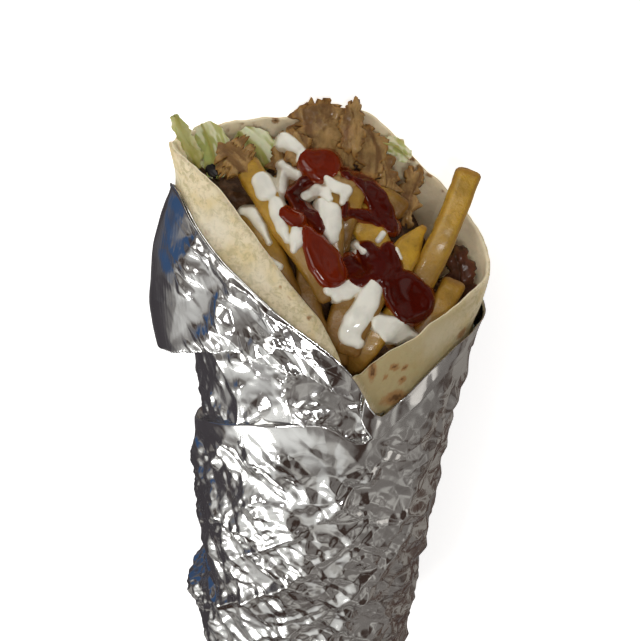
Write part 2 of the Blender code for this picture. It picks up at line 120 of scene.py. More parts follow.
# Toasted places on the bread: angle, station, then half sizes along both in mm, and strength
TOAST_OUTSIDE = (
    (-47.5, 215, 2.4, 1.6, 0.35), (-17, 205, 0.8, 0.5, 0.9), (-14, 202.5, 0.7, 0.5, 0.8),
    (-7, 197.5, 0.8, 0.5, 0.8), (17.5, 182, 1.2, 3.0, 0.95), (26, 182.8, 1.6, 1.0, 1.0),
    (30.5, 182, 1.3, 0.9, 1.0), (23, 179.8, 1.0, 0.8, 0.8), (30.5, 178.2, 1.4, 1.0, 1.0),
    (28.5, 172.6, 4.5, 2.4, 0.9), (62, 186, 3.0, 2.0, 0.7), (96, 190, 4.5, 3.0, 0.8),
    (150, 212, 4.0, 3.0, 0.8), (-118, 222, 5.0, 3.5, 0.8), (-150, 214, 4.0, 3.0, 0.7),
    (-92, 219, 3.5, 2.0, 0.6), (178, 222, 5.0, 3.5, 0.8),
)
TOAST_INSIDE = (
    (-124.5, 231, 3.4, 1.3, 0.9), (-139.5, 230.2, 1.6, 1.1, 0.8), (-145, 230, 1.5, 1.0, 0.9),
    (-148, 228.6, 1.2, 0.9, 0.7), (-154, 231, 1.4, 1.0, 0.9), (-132, 229.5, 1.6, 1.2, 0.5),
    (157, 223.5, 1.6, 1.0, 0.9), (153, 221.6, 1.5, 1.0, 0.9), (149.5, 219, 1.7, 1.0, 0.9),
    (145, 217, 1.7, 1.0, 0.8), (138, 212.6, 1.3, 0.9, 0.6), (163, 226, 1.2, 0.9, 0.6),
)
# Floury pale places inside and outside, given in the same way
FLOUR_OUTSIDE = ((-44, 217, 7, 5, 0.8), (-25, 207, 5, 4, 0.5), (45, 189, 8, 5, 0.4))
FLOUR_INSIDE = ((140, 208, 7, 5, 0.9), (120, 203, 6, 4, 0.5))

# Pieces on the slope. Each row: points of its middle line as (across, up, above) in mm,
# then its half width and half thickness in mm. The first ones lie in the filling and are fused
# with it in the solids. The clear ones, by their node's name, stand free of it.
CHIPS = (
    (((-29.5, 26, 2.5), (-23, 17, 6), (-16, 7, 9), (-7, -4, 10), (0, -13, 7)), 4.0, 3.6),
    (((-27, 12, 5), (-22, 4, 7), (-17, -5, 8), (-12, -15, 7)), 4.2, 3.6),
    (((-8, -2, 4), (-7, -14, 6), (-3, -25, 5), (1, -33, 1)), 4.0, 3.8),
    (((5, -6, 5), (4, -15, 6), (2, -24, 5), (3, -33, 1)), 4.0, 3.6),
    (((21, -15, 2), (15, -22, 4), (11, -28, 3), (7, -34, -2)), 4.0, 3.6),
    (((16, -3, 3), (12, -12, 6), (8, -21, 7), (6, -29, 4)), 4.2, 3.8),
    (((27, 12, -3), (22, 4, -1), (19, -4, 0), (17, -12, -4)), 4.6, 3.6),
    (((5, 15, -4), (10, 9, -2), (14, 2, -1), (19, -5, -4)), 4.8, 3.8),
    (((8, 21, -8), (15, 19, -7), (21, 16, -8)), 3.8, 3.4),
    (((5, 23, -1), (4, 16, 0), (2, 9, 0), (1, 1, -3)), 3.4, 3.2),
    (((-3, 19, 1), (-2, 11, 4), (-1, 4, 4), (-2, -5, 1)), 3.8, 3.6),
    (((26, -6, -3), (22, -15, -2), (18, -22, -2), (14, -29, -5)), 4.2, 3.8),
)
# Which chips end in a point, and how dark each one is, from 0 to 1: partly browning, and painted shade on the
# chips low in the mouth
POINTED_CHIPS = (6,)
CHIP_BROWNING_AND_PAINTED_SHADE = (0.15, 0.45, 1.0, 0.9, 0.5, 0.8, 0.0, 0.1, 0.5, 0.6, 0.6, 0.9)
CLEAR_CHIP_TONES = (0.12, 0.55)
MEATS = (
    (((-10.0, 48.5, -9), (-8, 40, -10), (-7, 31, -10)), 7.8, 3.4),
    (((0, 44, -12), (0, 37, -12), (0, 27, -11)), 5.0, 2.8),
    (((-17, 37, -6), (-14, 31, -4), (-9, 26, -3)), 4.4, 4.8),
    (((-36.5, 31, 2), (-32.5, 27.5, 5), (-28.5, 24, 6)), 5.2, 2.4),
    (((-19, 34, -7), (-16, 25, -5), (-12, 16, -5)), 5.5, 2.4),
    (((-4, 23, 0), (1, 22, 1), (6, 23, -2)), 3.4, 2.6),
    (((-4, 2, -3), (4, 5, -4), (10, -2, -4)), 6.0, 3.0),
    (((6, 41, -13), (9, 34, -11), (9, 26, -8)), 5.0, 2.4),
    (((-37, 20, -5), (-32, 15, -5), (-28, 9, -5)), 4.5, 2.0),
)
# A slice in the filling is two thinner ones: their shifts in half thicknesses, and their lean to one side
MEAT_LAYERS = ((-0.45, 0.12), (0.35, -0.10))
LETTUCE = (
    (((-33, 37, -10), (-27, 32, -8), (-23, 26, -8)), 6.0, 1.4),
    (((-25, 8, 2), (-19, -1, 3), (-14, -8, 3)), 5.0, 1.4),
)
CLEAR_CHIPS = {
    "chip_long": (((39, 30, 2), (35.2, 16.5, 1), (30.3, 2, -1), (24, -12, -6)), 4.3, 4.0),
    "chip_right": (((38, -4, -5), (35, -11, -4), (31.5, -19, -4), (27, -26, -6)), 4.2, 3.4),
}
CLEAR_MEATS = {
    "meat_charred": (((37.5, 6, -13), (40, -1, -13.5), (41, -8, -13.5), (39.5, -14, -14)), 4.8, 1.8),
    "meat_blade": (((2, 49.5, -4.5), (2.5, 41, -5), (3, 32, -5)), 4.0, 2.0),
    "meat_side_inner": (((13, 32, -10), (15, 26, -10), (14, 19, -10)), 4.2, 1.8),
    "meat_side_outer": (((24, 31, -16), (22, 22, -14), (22, 12, -12)), 3.6, 1.8),
}
CLEAR_LETTUCE = {
    "lettuce_rib": (((-52, 38.5, 6.5), (-47, 31, 5.5), (-43, 24, 3)), 2.4, 1.6),
    "lettuce_leaf": (((-44.5, 38, -4), (-40.5, 31, -3), (-37.5, 21.5, -1)), 5.0, 1.0),
    "lettuce_curl": (((12, 37.5, -11), (17, 36.5, -12), (21, 33, -13)), 2.8, 1.4),
}
# Half widths of the clear leaves' ribs, as shares of the leaf's
CLEAR_RIBS = (1.2, 0.12, 0.2)
OLIVE = (((-40.4, 25.4, 1.0), (-39.6, 23.3, 2.2), (-37.6, 21.4, 2.4)), 1.5, 0.9)

# Runs of sauce on the slope: points of the middle line as (across, up), each with its half width, in mm
WHITE_UNDER = (
    ((-19.5, 33.6, 1.6), (-18.5, 35.2, 2.0), (-16.3, 33.6, 2.2), (-14.1, 32.6, 2.0)),
    ((-12.9, 29.0, 1.5), (-12.5, 31.5, 1.4)),
    ((-18.6, 27.3, 1.2), (-16.3, 25.5, 1.4), (-13.5, 24.2, 1.5)),
    ((-17.8, 24.6, 1.0), (-17.3, 19.0, 1.2)),
    ((-23.7, 20.6, 3.0), (-22.5, 17.6, 3.2)),
    ((-18.9, 13.8, 2.4), (-18.0, 10.2, 1.9), (-16.4, 6.6, 1.5), (-14.6, 3.2, 1.1)),
    ((-11.2, 7.0, 2.3), (-11.6, 3.6, 2.4), (-12.4, 0.6, 1.4)),
    ((-5.1, 15.1, 2.4), (-2.5, 12.8, 3.4), (-1.8, 8.4, 3.0), (-0.9, 5.2, 1.8)),
    ((-28.9, 11.3, 1.5), (-26.1, 10.9, 1.7), (-22.8, 6.9, 1.3), (-20.0, 2.3, 0.9)),
    ((-19.0, -3.2, 1.2), (-16.4, -4.8, 1.3)),
    ((-0.7, -10.4, 2.0), (4.1, -10.4, 2.6), (6.4, -8.7, 2.2)),
    ((1.6, -12.3, 1.8), (2.4, -10.4, 1.8)),
    ((13.4, -5.7, 2.4), (10.9, -13.1, 3.4), (7.8, -19.1, 3.6), (6.1, -23.5, 3.0), (9.0, -25.7, 1.6)),
    ((15.5, -19.6, 2.8), (18.6, -20.8, 3.8), (21.6, -21.6, 3.3), (26.5, -22.4, 1.3)),
    ((6.9, 1.9, 1.3), (9.2, 3.8, 1.3)),
    ((18.3, 3.3, 1.1), (19.4, 1.0, 1.2)),
    ((12.8, 6.1, 0.9), (14.1, 8.3, 0.9)),
)
RED_RUNS = (
    (
        (-7.6, 23.9, 2.2), (-11.4, 22.1, 1.8), (-14.5, 18.5, 1.6), (-12.1, 15.3, 1.9),
        (-7.5, 11.4, 2.0), (-4.8, 7.9, 1.6),
    ),
    ((1.1, 26.7, 1.4), (2.7, 25.0, 1.5)),
    ((5.8, 24.7, 2.2), (8.4, 23.1, 2.8), (11.5, 19.3, 3.4), (14.0, 15.0, 3.4), (16.9, 11.0, 2.4)),
    ((4.2, 13.7, 1.5), (8.5, 13.1, 1.8), (12.4, 11.6, 1.6)),
    ((4.7, -1.5, 2.6), (8.0, -5.5, 3.2)),
    ((9.6, 2.5, 3.2), (13.0, -1.6, 4.6), (16.3, -4.9, 4.0)),
    ((16.0, 3.3, 2.4), (18.5, -1.7, 2.6)),
    ((21.5, -8.6, 6.3), (24.8, -11.8, 7.0)),
    ((2.1, 16.1, 1.1), (2.1, 12.8, 1.2)),
)
RED_DROPS = (
    ((-9.6, 28.6, 4.2), (-5.6, 28.4, 5.0), (-7.1, 25.7, 3.6)),
    ((-15.6, 11.4, 2.3), (-12.5, 9.9, 2.7)),
    ((-8.6, 6.2, 2.0), (-6.0, 2.2, 3.9), (-3.3, -1.8, 5.2), (-1.0, -5.2, 5.0)),
)
WHITE_OVER = (
    ((-10.2, 18.2, 1.3), (-7.3, 20.1, 1.7), (-4.8, 19.1, 1.5), (-3.2, 17.0, 1.2)),
    ((-4.5, 23.6, 1.0), (-0.7, 21.0, 1.5), (1.8, 20.3, 1.5), (1.2, 16.6, 1.0)),
    ((6.2, 4.2, 0.9), (8.4, 2.2, 1.1)),
)

# The grid of places on the slope that the sauces are worked out on: its step and its two sides, in mm
SAUCE_STEP = 0.36
SAUCE_ACROSS = np.arange(-36, 36, SAUCE_STEP)
SAUCE_UP = np.arange(-36, 44, SAUCE_STEP)

# The camera: its distance from the slope's origin and its shifts to the right and up in mm, its roll,
# and its lens and sensor in mm
CAMERA_DISTANCE, CAMERA_RIGHT, CAMERA_UP = 430.0, -4.5, -19.5
CAMERA_ROLL = np.radians(-4.5)
CAMERA_LENS, CAMERA_SENSOR = 78.63, 36

# Soft lamps: name, place and size in m, power in W, and colour. They all face one point.
LAMPS = (
    ("window", (-0.72, -0.72, 0.80), (0.55, 0.5), 5.6, (1.0, 0.99, 0.97)),
    ("overhead", (-0.40, 0.75, 0.95), (0.7, 0.5), 2.7, (1.0, 0.99, 0.96)),
    ("right", (1.05, -0.10, 0.60), (0.5, 0.4), 0.35, (1.0, 0.96, 0.90)),
    ("glint", (0.10, 0.45, 0.95), (0.18, 0.12), 1.9, (1.0, 1.0, 1.0)),
    ("pane", (-0.45, 0.12, 0.98), (0.08, 0.10), 0.9, (1.0, 1.0, 1.0)),
)
LAMPS_FACE = (0.0, 0.0, 0.04)

# Shades that aren't settings
BREAD_YELLOW = (0.70, 0.54, 0.22)
# Painted shade on the right flap, past the left flap's edge
BREAD_PAINTED_SHADE_PAST_FLAP = (0.40, 0.31, 0.14)
BREAD_MOTTLE = (0.46, 0.39, 0.20)
BREAD_SPECK = (0.36, 0.30, 0.16)
BREAD_FLOUR = (0.80, 0.74, 0.60)
# The paler inside: partly the crumb's own colour, partly painted light on the inner wall
BREAD_INSIDE_AND_PAINTED_LIGHT = (0.98, 0.87, 0.62)
MEAT_PINK = (0.34, 0.17, 0.10)
MEAT_GOLDEN = (0.42, 0.20, 0.035)
MEAT_CHARRED = (0.12, 0.034, 0.012)
LETTUCE_PALE = (0.86, 0.85, 0.62)
LETTUCE_RIB = (0.38, 0.36, 0.08)
OLIVE_DARK, OLIVE_LIGHT = (0.008, 0.008, 0.012), (0.025, 0.020, 0.022)
# The filling's scraps, darkened as painted shade between the pieces
CORE_SCRAP_AND_PAINTED_SHADE = (0.20, 0.10, 0.045)
WHITE_SAUCE_THIN = (0.66, 0.56, 0.38)
FLOOR_GREY = (0.85, 0.85, 0.85)

# The room that the foil mirrors
ROOM_DARK, ROOM_MIDDLE, ROOM_LIGHT = (0.040, 0.025, 0.020), (0.17, 0.155, 0.145), (0.40, 0.385, 0.36)
ROOM_WINDOW, ROOM_OVER_DINER, ROOM_BLUE = (0.80, 0.80, 0.78), (0.045, 0.032, 0.028), (0.040, 0.080, 0.17)
ROOM_LOW_LEFT = (0.060, 0.056, 0.064)
ROOM_LOW_DARK, ROOM_LOW_LIGHT = (0.070, 0.042, 0.033), (0.27, 0.25, 0.225)


# Numbers and fields


def ease(low, high, value):
    """0 at low, 1 at high, with a smooth start and end."""
    share = np.clip((value - low) / (high - low), 0, 1)
    return share * share * (3 - 2 * share)


def hump(centre, spread, value):
    """A bell: 1 at the centre, falling by the square of the distance over the spread."""
    return np.exp(-(((value - centre) / spread) ** 2))


def around(knots, angle):
    """A value that follows knots of (degrees, mm) round the wrap, its corners averaged over 3 degrees."""
    degrees, values = np.array(knots, float).T
    return np.mean([np.interp(angle + turn, degrees, values, period=360) for turn in (-3, 0, 3)], axis=0)


def scramble(x, y, z, seed):
    """A number from 0 to 1 for each whole-number cell, from its indices multiplied, added and folded."""
    mixed = (x * 374761393 + y * 668265263 + z * 1440662683 + seed * 974634777) & 0xFFFFFFFF
    mixed = ((mixed ^ (mixed >> 13)) * 1274126177) & 0xFFFFFFFF
    return ((mixed ^ (mixed >> 16)) & 0xFFFFFF) / 0xFFFFFF


def noise(points, size, seed=0):
    """Smooth noise from -1 to 1: cell corners hold chance numbers, and a point blends its eight corners."""
    places = np.asarray(points, float) / size
    cell = np.floor(places).astype(np.int64)
    part = places - cell
    part = part * part * (3 - 2 * part)
    total = 0.0
    for dx in (0, 1):
        for dy in (0, 1):
            for dz in (0, 1):
                share = np.where(dx, part[..., 0], 1 - part[..., 0])
                share = share * np.where(dy, part[..., 1], 1 - part[..., 1])
                share = share * np.where(dz, part[..., 2], 1 - part[..., 2])
                chance = scramble(cell[..., 0] + dx, cell[..., 1] + dy, cell[..., 2] + dz, seed)
                total = total + share * chance
    return total * 2 - 1


def rough(points, size, seed=0, octaves=3, gain=0.5):
    """Noise at a size and at each halving of it, every one weaker than the last by the gain, added up."""
    return sum(gain**k * noise(points, size / 2**k, seed + 7 * k) for k in range(octaves))


def sheet_noise(across, along, size, seed=0):
    """Noise from -1 to 1 on a flat sheet."""
    return noise(np.stack([across, along, 0 * across], axis=-1), size, seed)


def tents(across, along, seed):
    """Height of roofs on a loose grid of 1 cell: the distance to the nearest border between two cells."""
    column, row = np.floor(across).astype(np.int64), np.floor(along).astype(np.int64)
    gone = []
    for x in (-1, 0, 1):
        for y in (-1, 0, 1):
            shift_across, shift_along = (scramble(column + x, row + y, axis, seed) for axis in (0, 1))
            gone.append((column + x + shift_across - across, row + y + shift_along - along))
    gone = np.array(gone)
    nearest = np.argmin((gone**2).sum(axis=1), axis=0)
    own = np.take_along_axis(gone, nearest[None, None], axis=0)
    apart = gone - own
    length = np.sqrt((apart**2).sum(axis=1))
    border = ((gone + own) / 2 * apart).sum(axis=1) / np.maximum(length, 1e-6)
    return np.where(length > 1e-6, border, 9.0).min(axis=0)


def creases(across, along, size, steepness, seed):
    """Crumples in mm: one grid of roofs less another, so that ridges and valleys are both sharp."""
    across, along = np.broadcast_arrays(across, along)
    up = tents(across / size, along / size, seed)
    down = tents(across / size + 17.3, along / size + 5.7, seed + 1)
    return 2 * size * steepness * (up - down)


def fold(across, along, start, end, width, height):
    """A straight fold between two places: a roof of that half width and height, lower towards its ends."""
    gone = np.array(end, float) - np.array(start, float)
    length = np.hypot(*gone)
    run = ((across - start[0]) * gone[0] + (along - start[1]) * gone[1]) / length
    beside = ((across - start[0]) * gone[1] - (along - start[1]) * gone[0]) / length
    ends = ease(-6, 6, run) * ease(length + 6, length - 6, run)
    return height * ends * np.clip(1 - np.abs(beside) / width, 0, 1)


# The wrap's sections


def tail_round(station, left_over):
    """The share of a section's size that is left as the sleeve rounds off at its tail."""
    share = np.clip(station / TAIL_ROUNDING, 0, 1)
    return left_over + (1 - left_over) * np.sqrt(1 - (1 - share) ** 2.2)


def half_width(station):
    """Half the section's width: a straight line to the mouth, less two waists, rounded off at the tail."""
    straight = TAIL_HALF_WIDTH + (MOUTH_HALF_WIDTH - TAIL_HALF_WIDTH) * station / MOUTH_STATION
    return (straight - 5 * hump(143, 34, station) - 2.5 * hump(85, 30, station)) * tail_round(station, 0.35)


def half_depth(station):
    """Half the section's depth: it grows by 9 mm to station 120, and loses 12 mm towards the mouth."""
    return (28 + 9 * ease(0, 120, station) - 12 * ease(150, 240, station)) * tail_round(station, 0.25)


def pinch(turn, station):
    """How far the foil presses the wrap in, at five places on the left and at one on the right."""
    left = sum(depth * hump(centre, spread, station) for depth, centre, spread in PINCHES_LEFT)
    depth, centre, spread = PINCH_RIGHT
    right = depth * hump(centre, spread, station)
    return left * np.clip(-np.sin(turn), 0, 1) + right * np.clip(np.sin(turn), 0, 1)


def wrap_points(angle, station, offset):
    """Points on the sleeve's section: an oval offset outwards, pinched at its sides and flat underneath."""
    angle, station, offset = np.broadcast_arrays(angle, station, offset)
    turn = np.radians(angle)
    across = (half_width(station) + offset - pinch(turn, station)) * np.sin(turn)
    height = half_depth(station) + 0.1 + (half_depth(station) + offset) * np.cos(turn)
    return np.stack([across, station, np.maximum(height, 1.6 - np.minimum(offset, 1.6))], axis=-1)


def lap(angle, station):
    """How far the left flap stands over the right one."""
    behind = FLAP_ANGLE - (station - FLAP_STATION) * FLAP_LEAN - angle
    return FLAP_STEP * ease(-0.6, 2.0, behind) * (1 - ease(30, 80, behind)) * ease(158, 172, station)


def lap_cover(angle, station):
    """How far the foil stands off the bread to clear the flap's edge."""
    return FLAP_STEP * ease(30, 17, angle) * (1 - ease(60, 115, FLAP_ANGLE - angle)) * ease(138, 156, station)


def slope_points(across, up, above):
    """Points from their places across, up and above the filling's slope, in mm."""
    across, up, above = (np.asarray(value, float)[..., None] for value in (across, up, above))
    return SLOPE_ORIGIN + across * SLOPE_ACROSS + up * SLOPE_UP + above * SLOPE_OUT


def on_slope(points):
    """The places across, up and above the slope of points."""
    gone = points - SLOPE_ORIGIN
    return gone @ SLOPE_ACROSS, gone @ SLOPE_UP, gone @ SLOPE_OUT


# Meshes


def grid_quads(rows, columns, wrap):
    """Corner numbers of a grid's squares, whose columns close on themselves where wrap is set."""
    row, column = np.meshgrid(np.arange(rows - 1), np.arange(columns if wrap else columns - 1), indexing="ij")
    after = (column + 1) % columns
    low, high = row * columns, (row + 1) * columns
    return np.stack([low + column, low + after, high + after, high + column], axis=-1).reshape(-1, 4)


def grid_normals(points, wrap):
    """Unit normals of a grid: its step along the columns crossed with its step along the rows."""
    if wrap:
        step = np.roll(points, -1, axis=1) - np.roll(points, 1, axis=1)
    else:
        step = np.gradient(points, axis=1)
    normal = np.cross(step, np.gradient(points, axis=0))
    return normal / np.maximum(np.linalg.norm(normal, axis=-1, keepdims=True), 1e-9)


class Body:
    """A closed surface: its points in mm, its four- and three-sided faces, and numbers kept at each point."""

    def __init__(self, points, quads, triangles, marks):
        self.points, self.quads, self.triangles, self.marks = points, quads, triangles, marks
        if self.volume() < 0:
            self.quads, self.triangles = quads[:, ::-1], triangles[:, ::-1]

    def volume(self):
        """Six times the volume: the pyramids from its middle to its faces, below 0 if it is inside out."""
        split = np.concatenate([self.quads[:, [0, 1, 2]], self.quads[:, [0, 2, 3]], self.triangles])
        corners = self.points[split] - self.points.mean(axis=0)
        return np.einsum("ij,ij->i", corners[:, 0], np.cross(corners[:, 1], corners[:, 2])).sum()


def tube(rings, marks=None):
    """A closed body through rings of points, each end closed on its ring's middle."""
    rows, columns = rings.shape[:2]
    points = np.concatenate([rings.reshape(-1, 3), [rings[0].mean(axis=0)], [rings[-1].mean(axis=0)]])
    first, last = rows * columns, rows * columns + 1
    here = np.arange(columns)
    after = (here + 1) % columns
    top = (rows - 1) * columns
    start = np.stack([np.full(columns, first), after, here], axis=-1)
    end = np.stack([top + here, top + after, np.full(columns, last)], axis=-1)
    kept = {}
    for name, values in (marks or {}).items():
        values = np.broadcast_to(values, (rows, columns))
        kept[name] = np.concatenate([values.ravel(), [values[0].mean()], [values[-1].mean()]])
    return Body(points, grid_quads(rows, columns, wrap=True), np.concatenate([start, end]), kept)


def leaf(top, bottom, marks=None):
    """A closed thin body between two grids of points, joined along their edges."""
    rows, columns = top.shape[:2]
    number = np.arange(rows * columns).reshape(rows, columns)
    edge = np.concatenate([number[0, :-1], number[:-1, -1], number[-1, :0:-1], number[:0:-1, 0]])
    after, under = np.roll(edge, -1), rows * columns
    squares = grid_quads(rows, columns, wrap=False)
    sides = np.stack([edge, edge + under, after + under, after], axis=-1)
    kept = {}
    for name, values in (marks or {}).items():
        kept[name] = np.tile(np.broadcast_to(values, (rows, columns)).ravel(), 2)
    points = np.concatenate([top.reshape(-1, 3), bottom.reshape(-1, 3)])
    quads = np.concatenate([squares, squares[:, ::-1] + under, sides])
    return Body(points, quads, np.zeros((0, 3), int), kept)


def island(top, bottom, kept, marks):
    """A closed body between two grids, but only over the squares whose corners are all kept.

    A side closes each edge that no neighbouring square runs along the other way.
    """
    rows, columns = kept.shape
    squares = grid_quads(rows, columns, wrap=False)
    squares = squares[kept.ravel()[squares].all(axis=1)]
    under = rows * columns
    starts = squares.ravel()
    ends = np.roll(squares, -1, axis=1).ravel()
    border = ~np.isin(starts * under + ends, ends * under + starts)
    sides = np.stack([ends, starts, starts + under, ends + under], axis=-1)[border]
    quads = np.concatenate([squares, squares[:, ::-1] + under, sides])
    points = np.concatenate([top.reshape(-1, 3), bottom.reshape(-1, 3)])
    used, quads = np.unique(quads, return_inverse=True)
    numbers = {name: np.tile(values.ravel(), 2)[used] for name, values in marks.items()}
    return Body(points[used], quads.reshape(-1, 4), np.zeros((0, 3), int), numbers)


def make_piece(name, bodies, finish, slot, *nodes):
    """Joins bodies into one mesh at its place in the frame, and hands it to the part's body and nodes."""
    bodies = bodies if isinstance(bodies, list) else [bodies]
    shifts = np.cumsum([0] + [len(body.points) for body in bodies[:-1]])
    points = np.concatenate([body.points for body in bodies])
    quads = np.concatenate([body.quads + shift for body, shift in zip(bodies, shifts)])
    triangles = np.concatenate([body.triangles + shift for body, shift in zip(bodies, shifts)])
    corners = np.concatenate([quads.ravel(), triangles.ravel()])
    sizes = np.concatenate([np.full(len(quads), 4), np.full(len(triangles), 3)])
    mesh = bpy.data.meshes.new(name)
    mesh.vertices.add(len(points))
    mesh.vertices.foreach_set("co", ((points + PLACE) * MM).astype(np.float32).ravel())
    mesh.loops.add(len(corners))
    mesh.loops.foreach_set("vertex_index", corners.astype(np.int32))
    mesh.polygons.add(len(sizes))
    mesh.polygons.foreach_set("loop_start", (np.cumsum(sizes) - sizes).astype(np.int32))
    mesh.update(calc_edges=True)
    if mesh.validate():
        raise RuntimeError(f"{name}: the mesh had faces that Blender can't use")
    for mark in bodies[0].marks:
        values = np.concatenate([body.marks[mark] for body in bodies]).astype(np.float32)
        mesh.attributes.new(mark, "FLOAT", "POINT").data.foreach_set("value", values)
    mesh.shade_smooth()
    mesh.materials.append(finish)
    piece = bpy.data.objects.new(name, mesh)
    bpy.context.scene.collection.objects.link(piece)
    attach(piece, "root")
    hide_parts(*nodes)


# Shader maths


class Wire:
    """A shader socket with a number in it, on which Python's operators add Math nodes."""

    def __init__(self, paint, socket):
        self.paint, self.socket = paint, socket

    def maths(self, operation, first, second):
        """The result of a Math node on two numbers or wires."""
        return self.paint.node("ShaderNodeMath", {"operation": operation}, {0: first, 1: second})[0]

    def __add__(self, other):
        return self.maths("ADD", self, other)

    def __sub__(self, other):
        return self.maths("SUBTRACT", self, other)

    def __rsub__(self, other):
        return self.maths("SUBTRACT", other, self)

    def __mul__(self, other):
        return self.maths("MULTIPLY", self, other)

    __radd__ = __add__
    __rmul__ = __mul__

    def above(self, low, high):
        """0 up to low, 1 from high, smooth between them."""
        settings = {"interpolation_type": "SMOOTHSTEP"}
        return self.paint.node("ShaderNodeMapRange", settings, {0: self, 1: low, 2: high, 3: 0.0, 4: 1.0})[0]


class Nodes:
    """A node tree, filled from each node's type, settings and socket values."""

    def __init__(self, tree):
        self.tree = tree

    def node(self, kind, settings, values, output=None):
        """Adds a node and returns its outputs as wires, or the one named output."""
        made = self.tree.nodes.new(kind)
        for key, value in settings.items():
            setattr(made, key, value)
        for key, value in values.items():
            self.join(made.inputs[key], value)
        outputs = [made.outputs[output]] if output else [socket for socket in made.outputs if socket.enabled]
        return [Wire(self, socket) for socket in outputs]

    def join(self, socket, value):
        """Links a wire to a socket, or sets the socket to a number or a colour."""
        if isinstance(value, Wire):
            self.tree.links.new(value.socket, socket)
        elif isinstance(value, tuple) and len(value) == 3 and socket.type == "RGBA":
            socket.default_value = (*value, 1.0)
        else:
            socket.default_value = value

    def mix(self, share, first, second):
        """The first colour, or the second one by that share."""
        return self.node("ShaderNodeMix", {"data_type": "RGBA"}, {0: share, 6: first, 7: second})[0]


class Paint(Nodes):
    """A material and the textures that its shader is fed with."""

    def __init__(self, name):
        self.material = bpy.data.materials.new(name)
        self.material.use_nodes = True
        super().__init__(self.material.node_tree)
        self.shader = self.tree.nodes["Principled BSDF"]
        self.places = self.node("ShaderNodeTexCoord", {}, {}, output="Object")[0]

    def set(self, **values):
        """Sets the shader's own sockets, with _ for each space in their names."""
        for key, value in values.items():
            self.join(self.shader.inputs[key.replace("_", " ")], value)

    def cloud(self, size_mm, detail=3.0, roughness=0.5, twist=0.0):
        """Noise from 0 to 1 with features of that size, in the piece's own coordinates."""
        values = {"Vector": self.places, "Scale": 1 / (size_mm * MM), "Detail": detail}
        values.update({"Roughness": roughness, "Distortion": twist})
        return self.node("ShaderNodeTexNoise", {}, values, output="Fac")[0]

    def cells(self, size_mm, feature="F1", stretch=(1.0, 1.0, 1.0)):
        """Distance in cells to the nearest point of a loose grid, or to the edge between two points."""
        turned = {"Vector": self.places, "Rotation": (0.5, 0.3, 0.7), "Scale": stretch}
        places = self.node("ShaderNodeMapping", {}, turned)[0]
        values = {"Vector": places, "Scale": 1 / (size_mm * MM)}
        return self.node("ShaderNodeTexVoronoi", {"feature": feature}, values, output="Distance")[0]

    def mark(self, name):
        """A number that the mesh keeps at its points."""
        return self.node("ShaderNodeAttribute", {"attribute_name": name}, {}, output="Fac")[0]

    def bump(self, height, depth_mm, strength=1.0):
        """Feeds the shader's normal with a height that runs from 0 to 1 over that depth."""
        values = {"Height": height, "Distance": depth_mm * MM, "Strength": strength}
        self.set(Normal=self.node("ShaderNodeBump", {}, values)[0])


def tint(settings_colour):
    """A colour setting as three plain numbers."""
    return tuple(float(value) for value in settings_colour)


def darker(colour, share):
    """A colour with that share of its light."""
    return tuple(value * share for value in colour)


def finish_foil(name, shine, sizes):
    """Aluminium foil: metal, with flat facets in its bump and a roughness that changes over it.

    The sizes are those of the large and the fine facets and the depth of their creases, in mm.
    """
    paint = Paint(name)
    large, fine, depth = sizes
    tone = paint.cloud(18, detail=2)
    folds = paint.cells(large, "DISTANCE_TO_EDGE", (0.8, 0.5, 1.0))
    patch = paint.cloud(14, detail=2).above(0.54, 0.70)
    crumple = folds - paint.cells(fine, "DISTANCE_TO_EDGE", (1.0, 0.8, 1.0)) * patch * (0.9 * fine / large)
    paint.set(Metallic=1.0)
    paint.set(Base_Color=paint.mix(tone.above(0.35, 0.7), tint(shine), darker(tint(shine), 0.86)))
    paint.set(Roughness=0.08 + paint.cloud(5, detail=3) * 0.12)
    paint.bump(crumple, depth)
    return paint.material


def finish_bread(settings):
    """Flatbread: cream, with fine olive-grey mottling, floury patches and toasted spots kept at its points,
    painted shade on the right flap, and a paler inside that is partly painted light.
    """
    paint = Paint("flatbread")
    crumb, toast = tint(settings.bread_colour), tint(settings.toast_colour)
    mottle = paint.cloud(2.6, detail=6, roughness=0.68, twist=0.8).above(0.44, 0.64)
    speck = paint.cloud(0.9, detail=2).above(0.60, 0.72)
    broad = paint.cloud(14, detail=3).above(0.40, 0.68)
    colour = paint.mix(broad * 0.55, crumb, darker(crumb, 0.86))
    colour = paint.mix(paint.cloud(7, detail=3).above(0.48, 0.66) * 0.5, colour, BREAD_YELLOW)
    # Painted shade: the right flap past the left flap's edge is darkened, as it lies in shade from the lamps
    # on the left
    colour = paint.mix(paint.mark("under") * 0.85, colour, BREAD_PAINTED_SHADE_PAST_FLAP)
    colour = paint.mix(mottle * 0.66, colour, BREAD_MOTTLE)
    colour = paint.mix(speck * 0.35, colour, BREAD_SPECK)
    colour = paint.mix(paint.mark("flour") * 0.75, colour, BREAD_FLOUR)
    ring = paint.mark("toast")
    edge = paint.cloud(1.3, detail=4, roughness=0.65)
    golden = (ring * 1.6 + (edge - 0.5) * 0.8).above(0.25, 0.9)
    burnt = (ring * 1.4 + (edge - 0.5) * 1.1).above(0.82, 1.30)
    colour = paint.mix(golden * 0.75, colour, toast)
    colour = paint.mix(burnt * 0.85, colour, darker(toast, 0.28))
    # Paler inside: partly the crumb's own colour, partly painted light on the inner back wall that the lamps
    # hardly reach
    colour = paint.mix(paint.mark("side") * 0.75 * (1 - golden), colour, BREAD_INSIDE_AND_PAINTED_LIGHT)
    paint.set(Base_Color=colour, Roughness=0.72 + mottle * 0.12)
    paint.set(Specular_IOR_Level=0.3, Subsurface_Weight=0.06, Subsurface_Scale=0.002)
    height = paint.cloud(7, detail=3) * 0.5 + paint.cloud(1.4, detail=4, roughness=0.6) * 0.35
    paint.bump(height - paint.cells(2.2) * 0.25, 0.6, 0.9)
    return paint.material


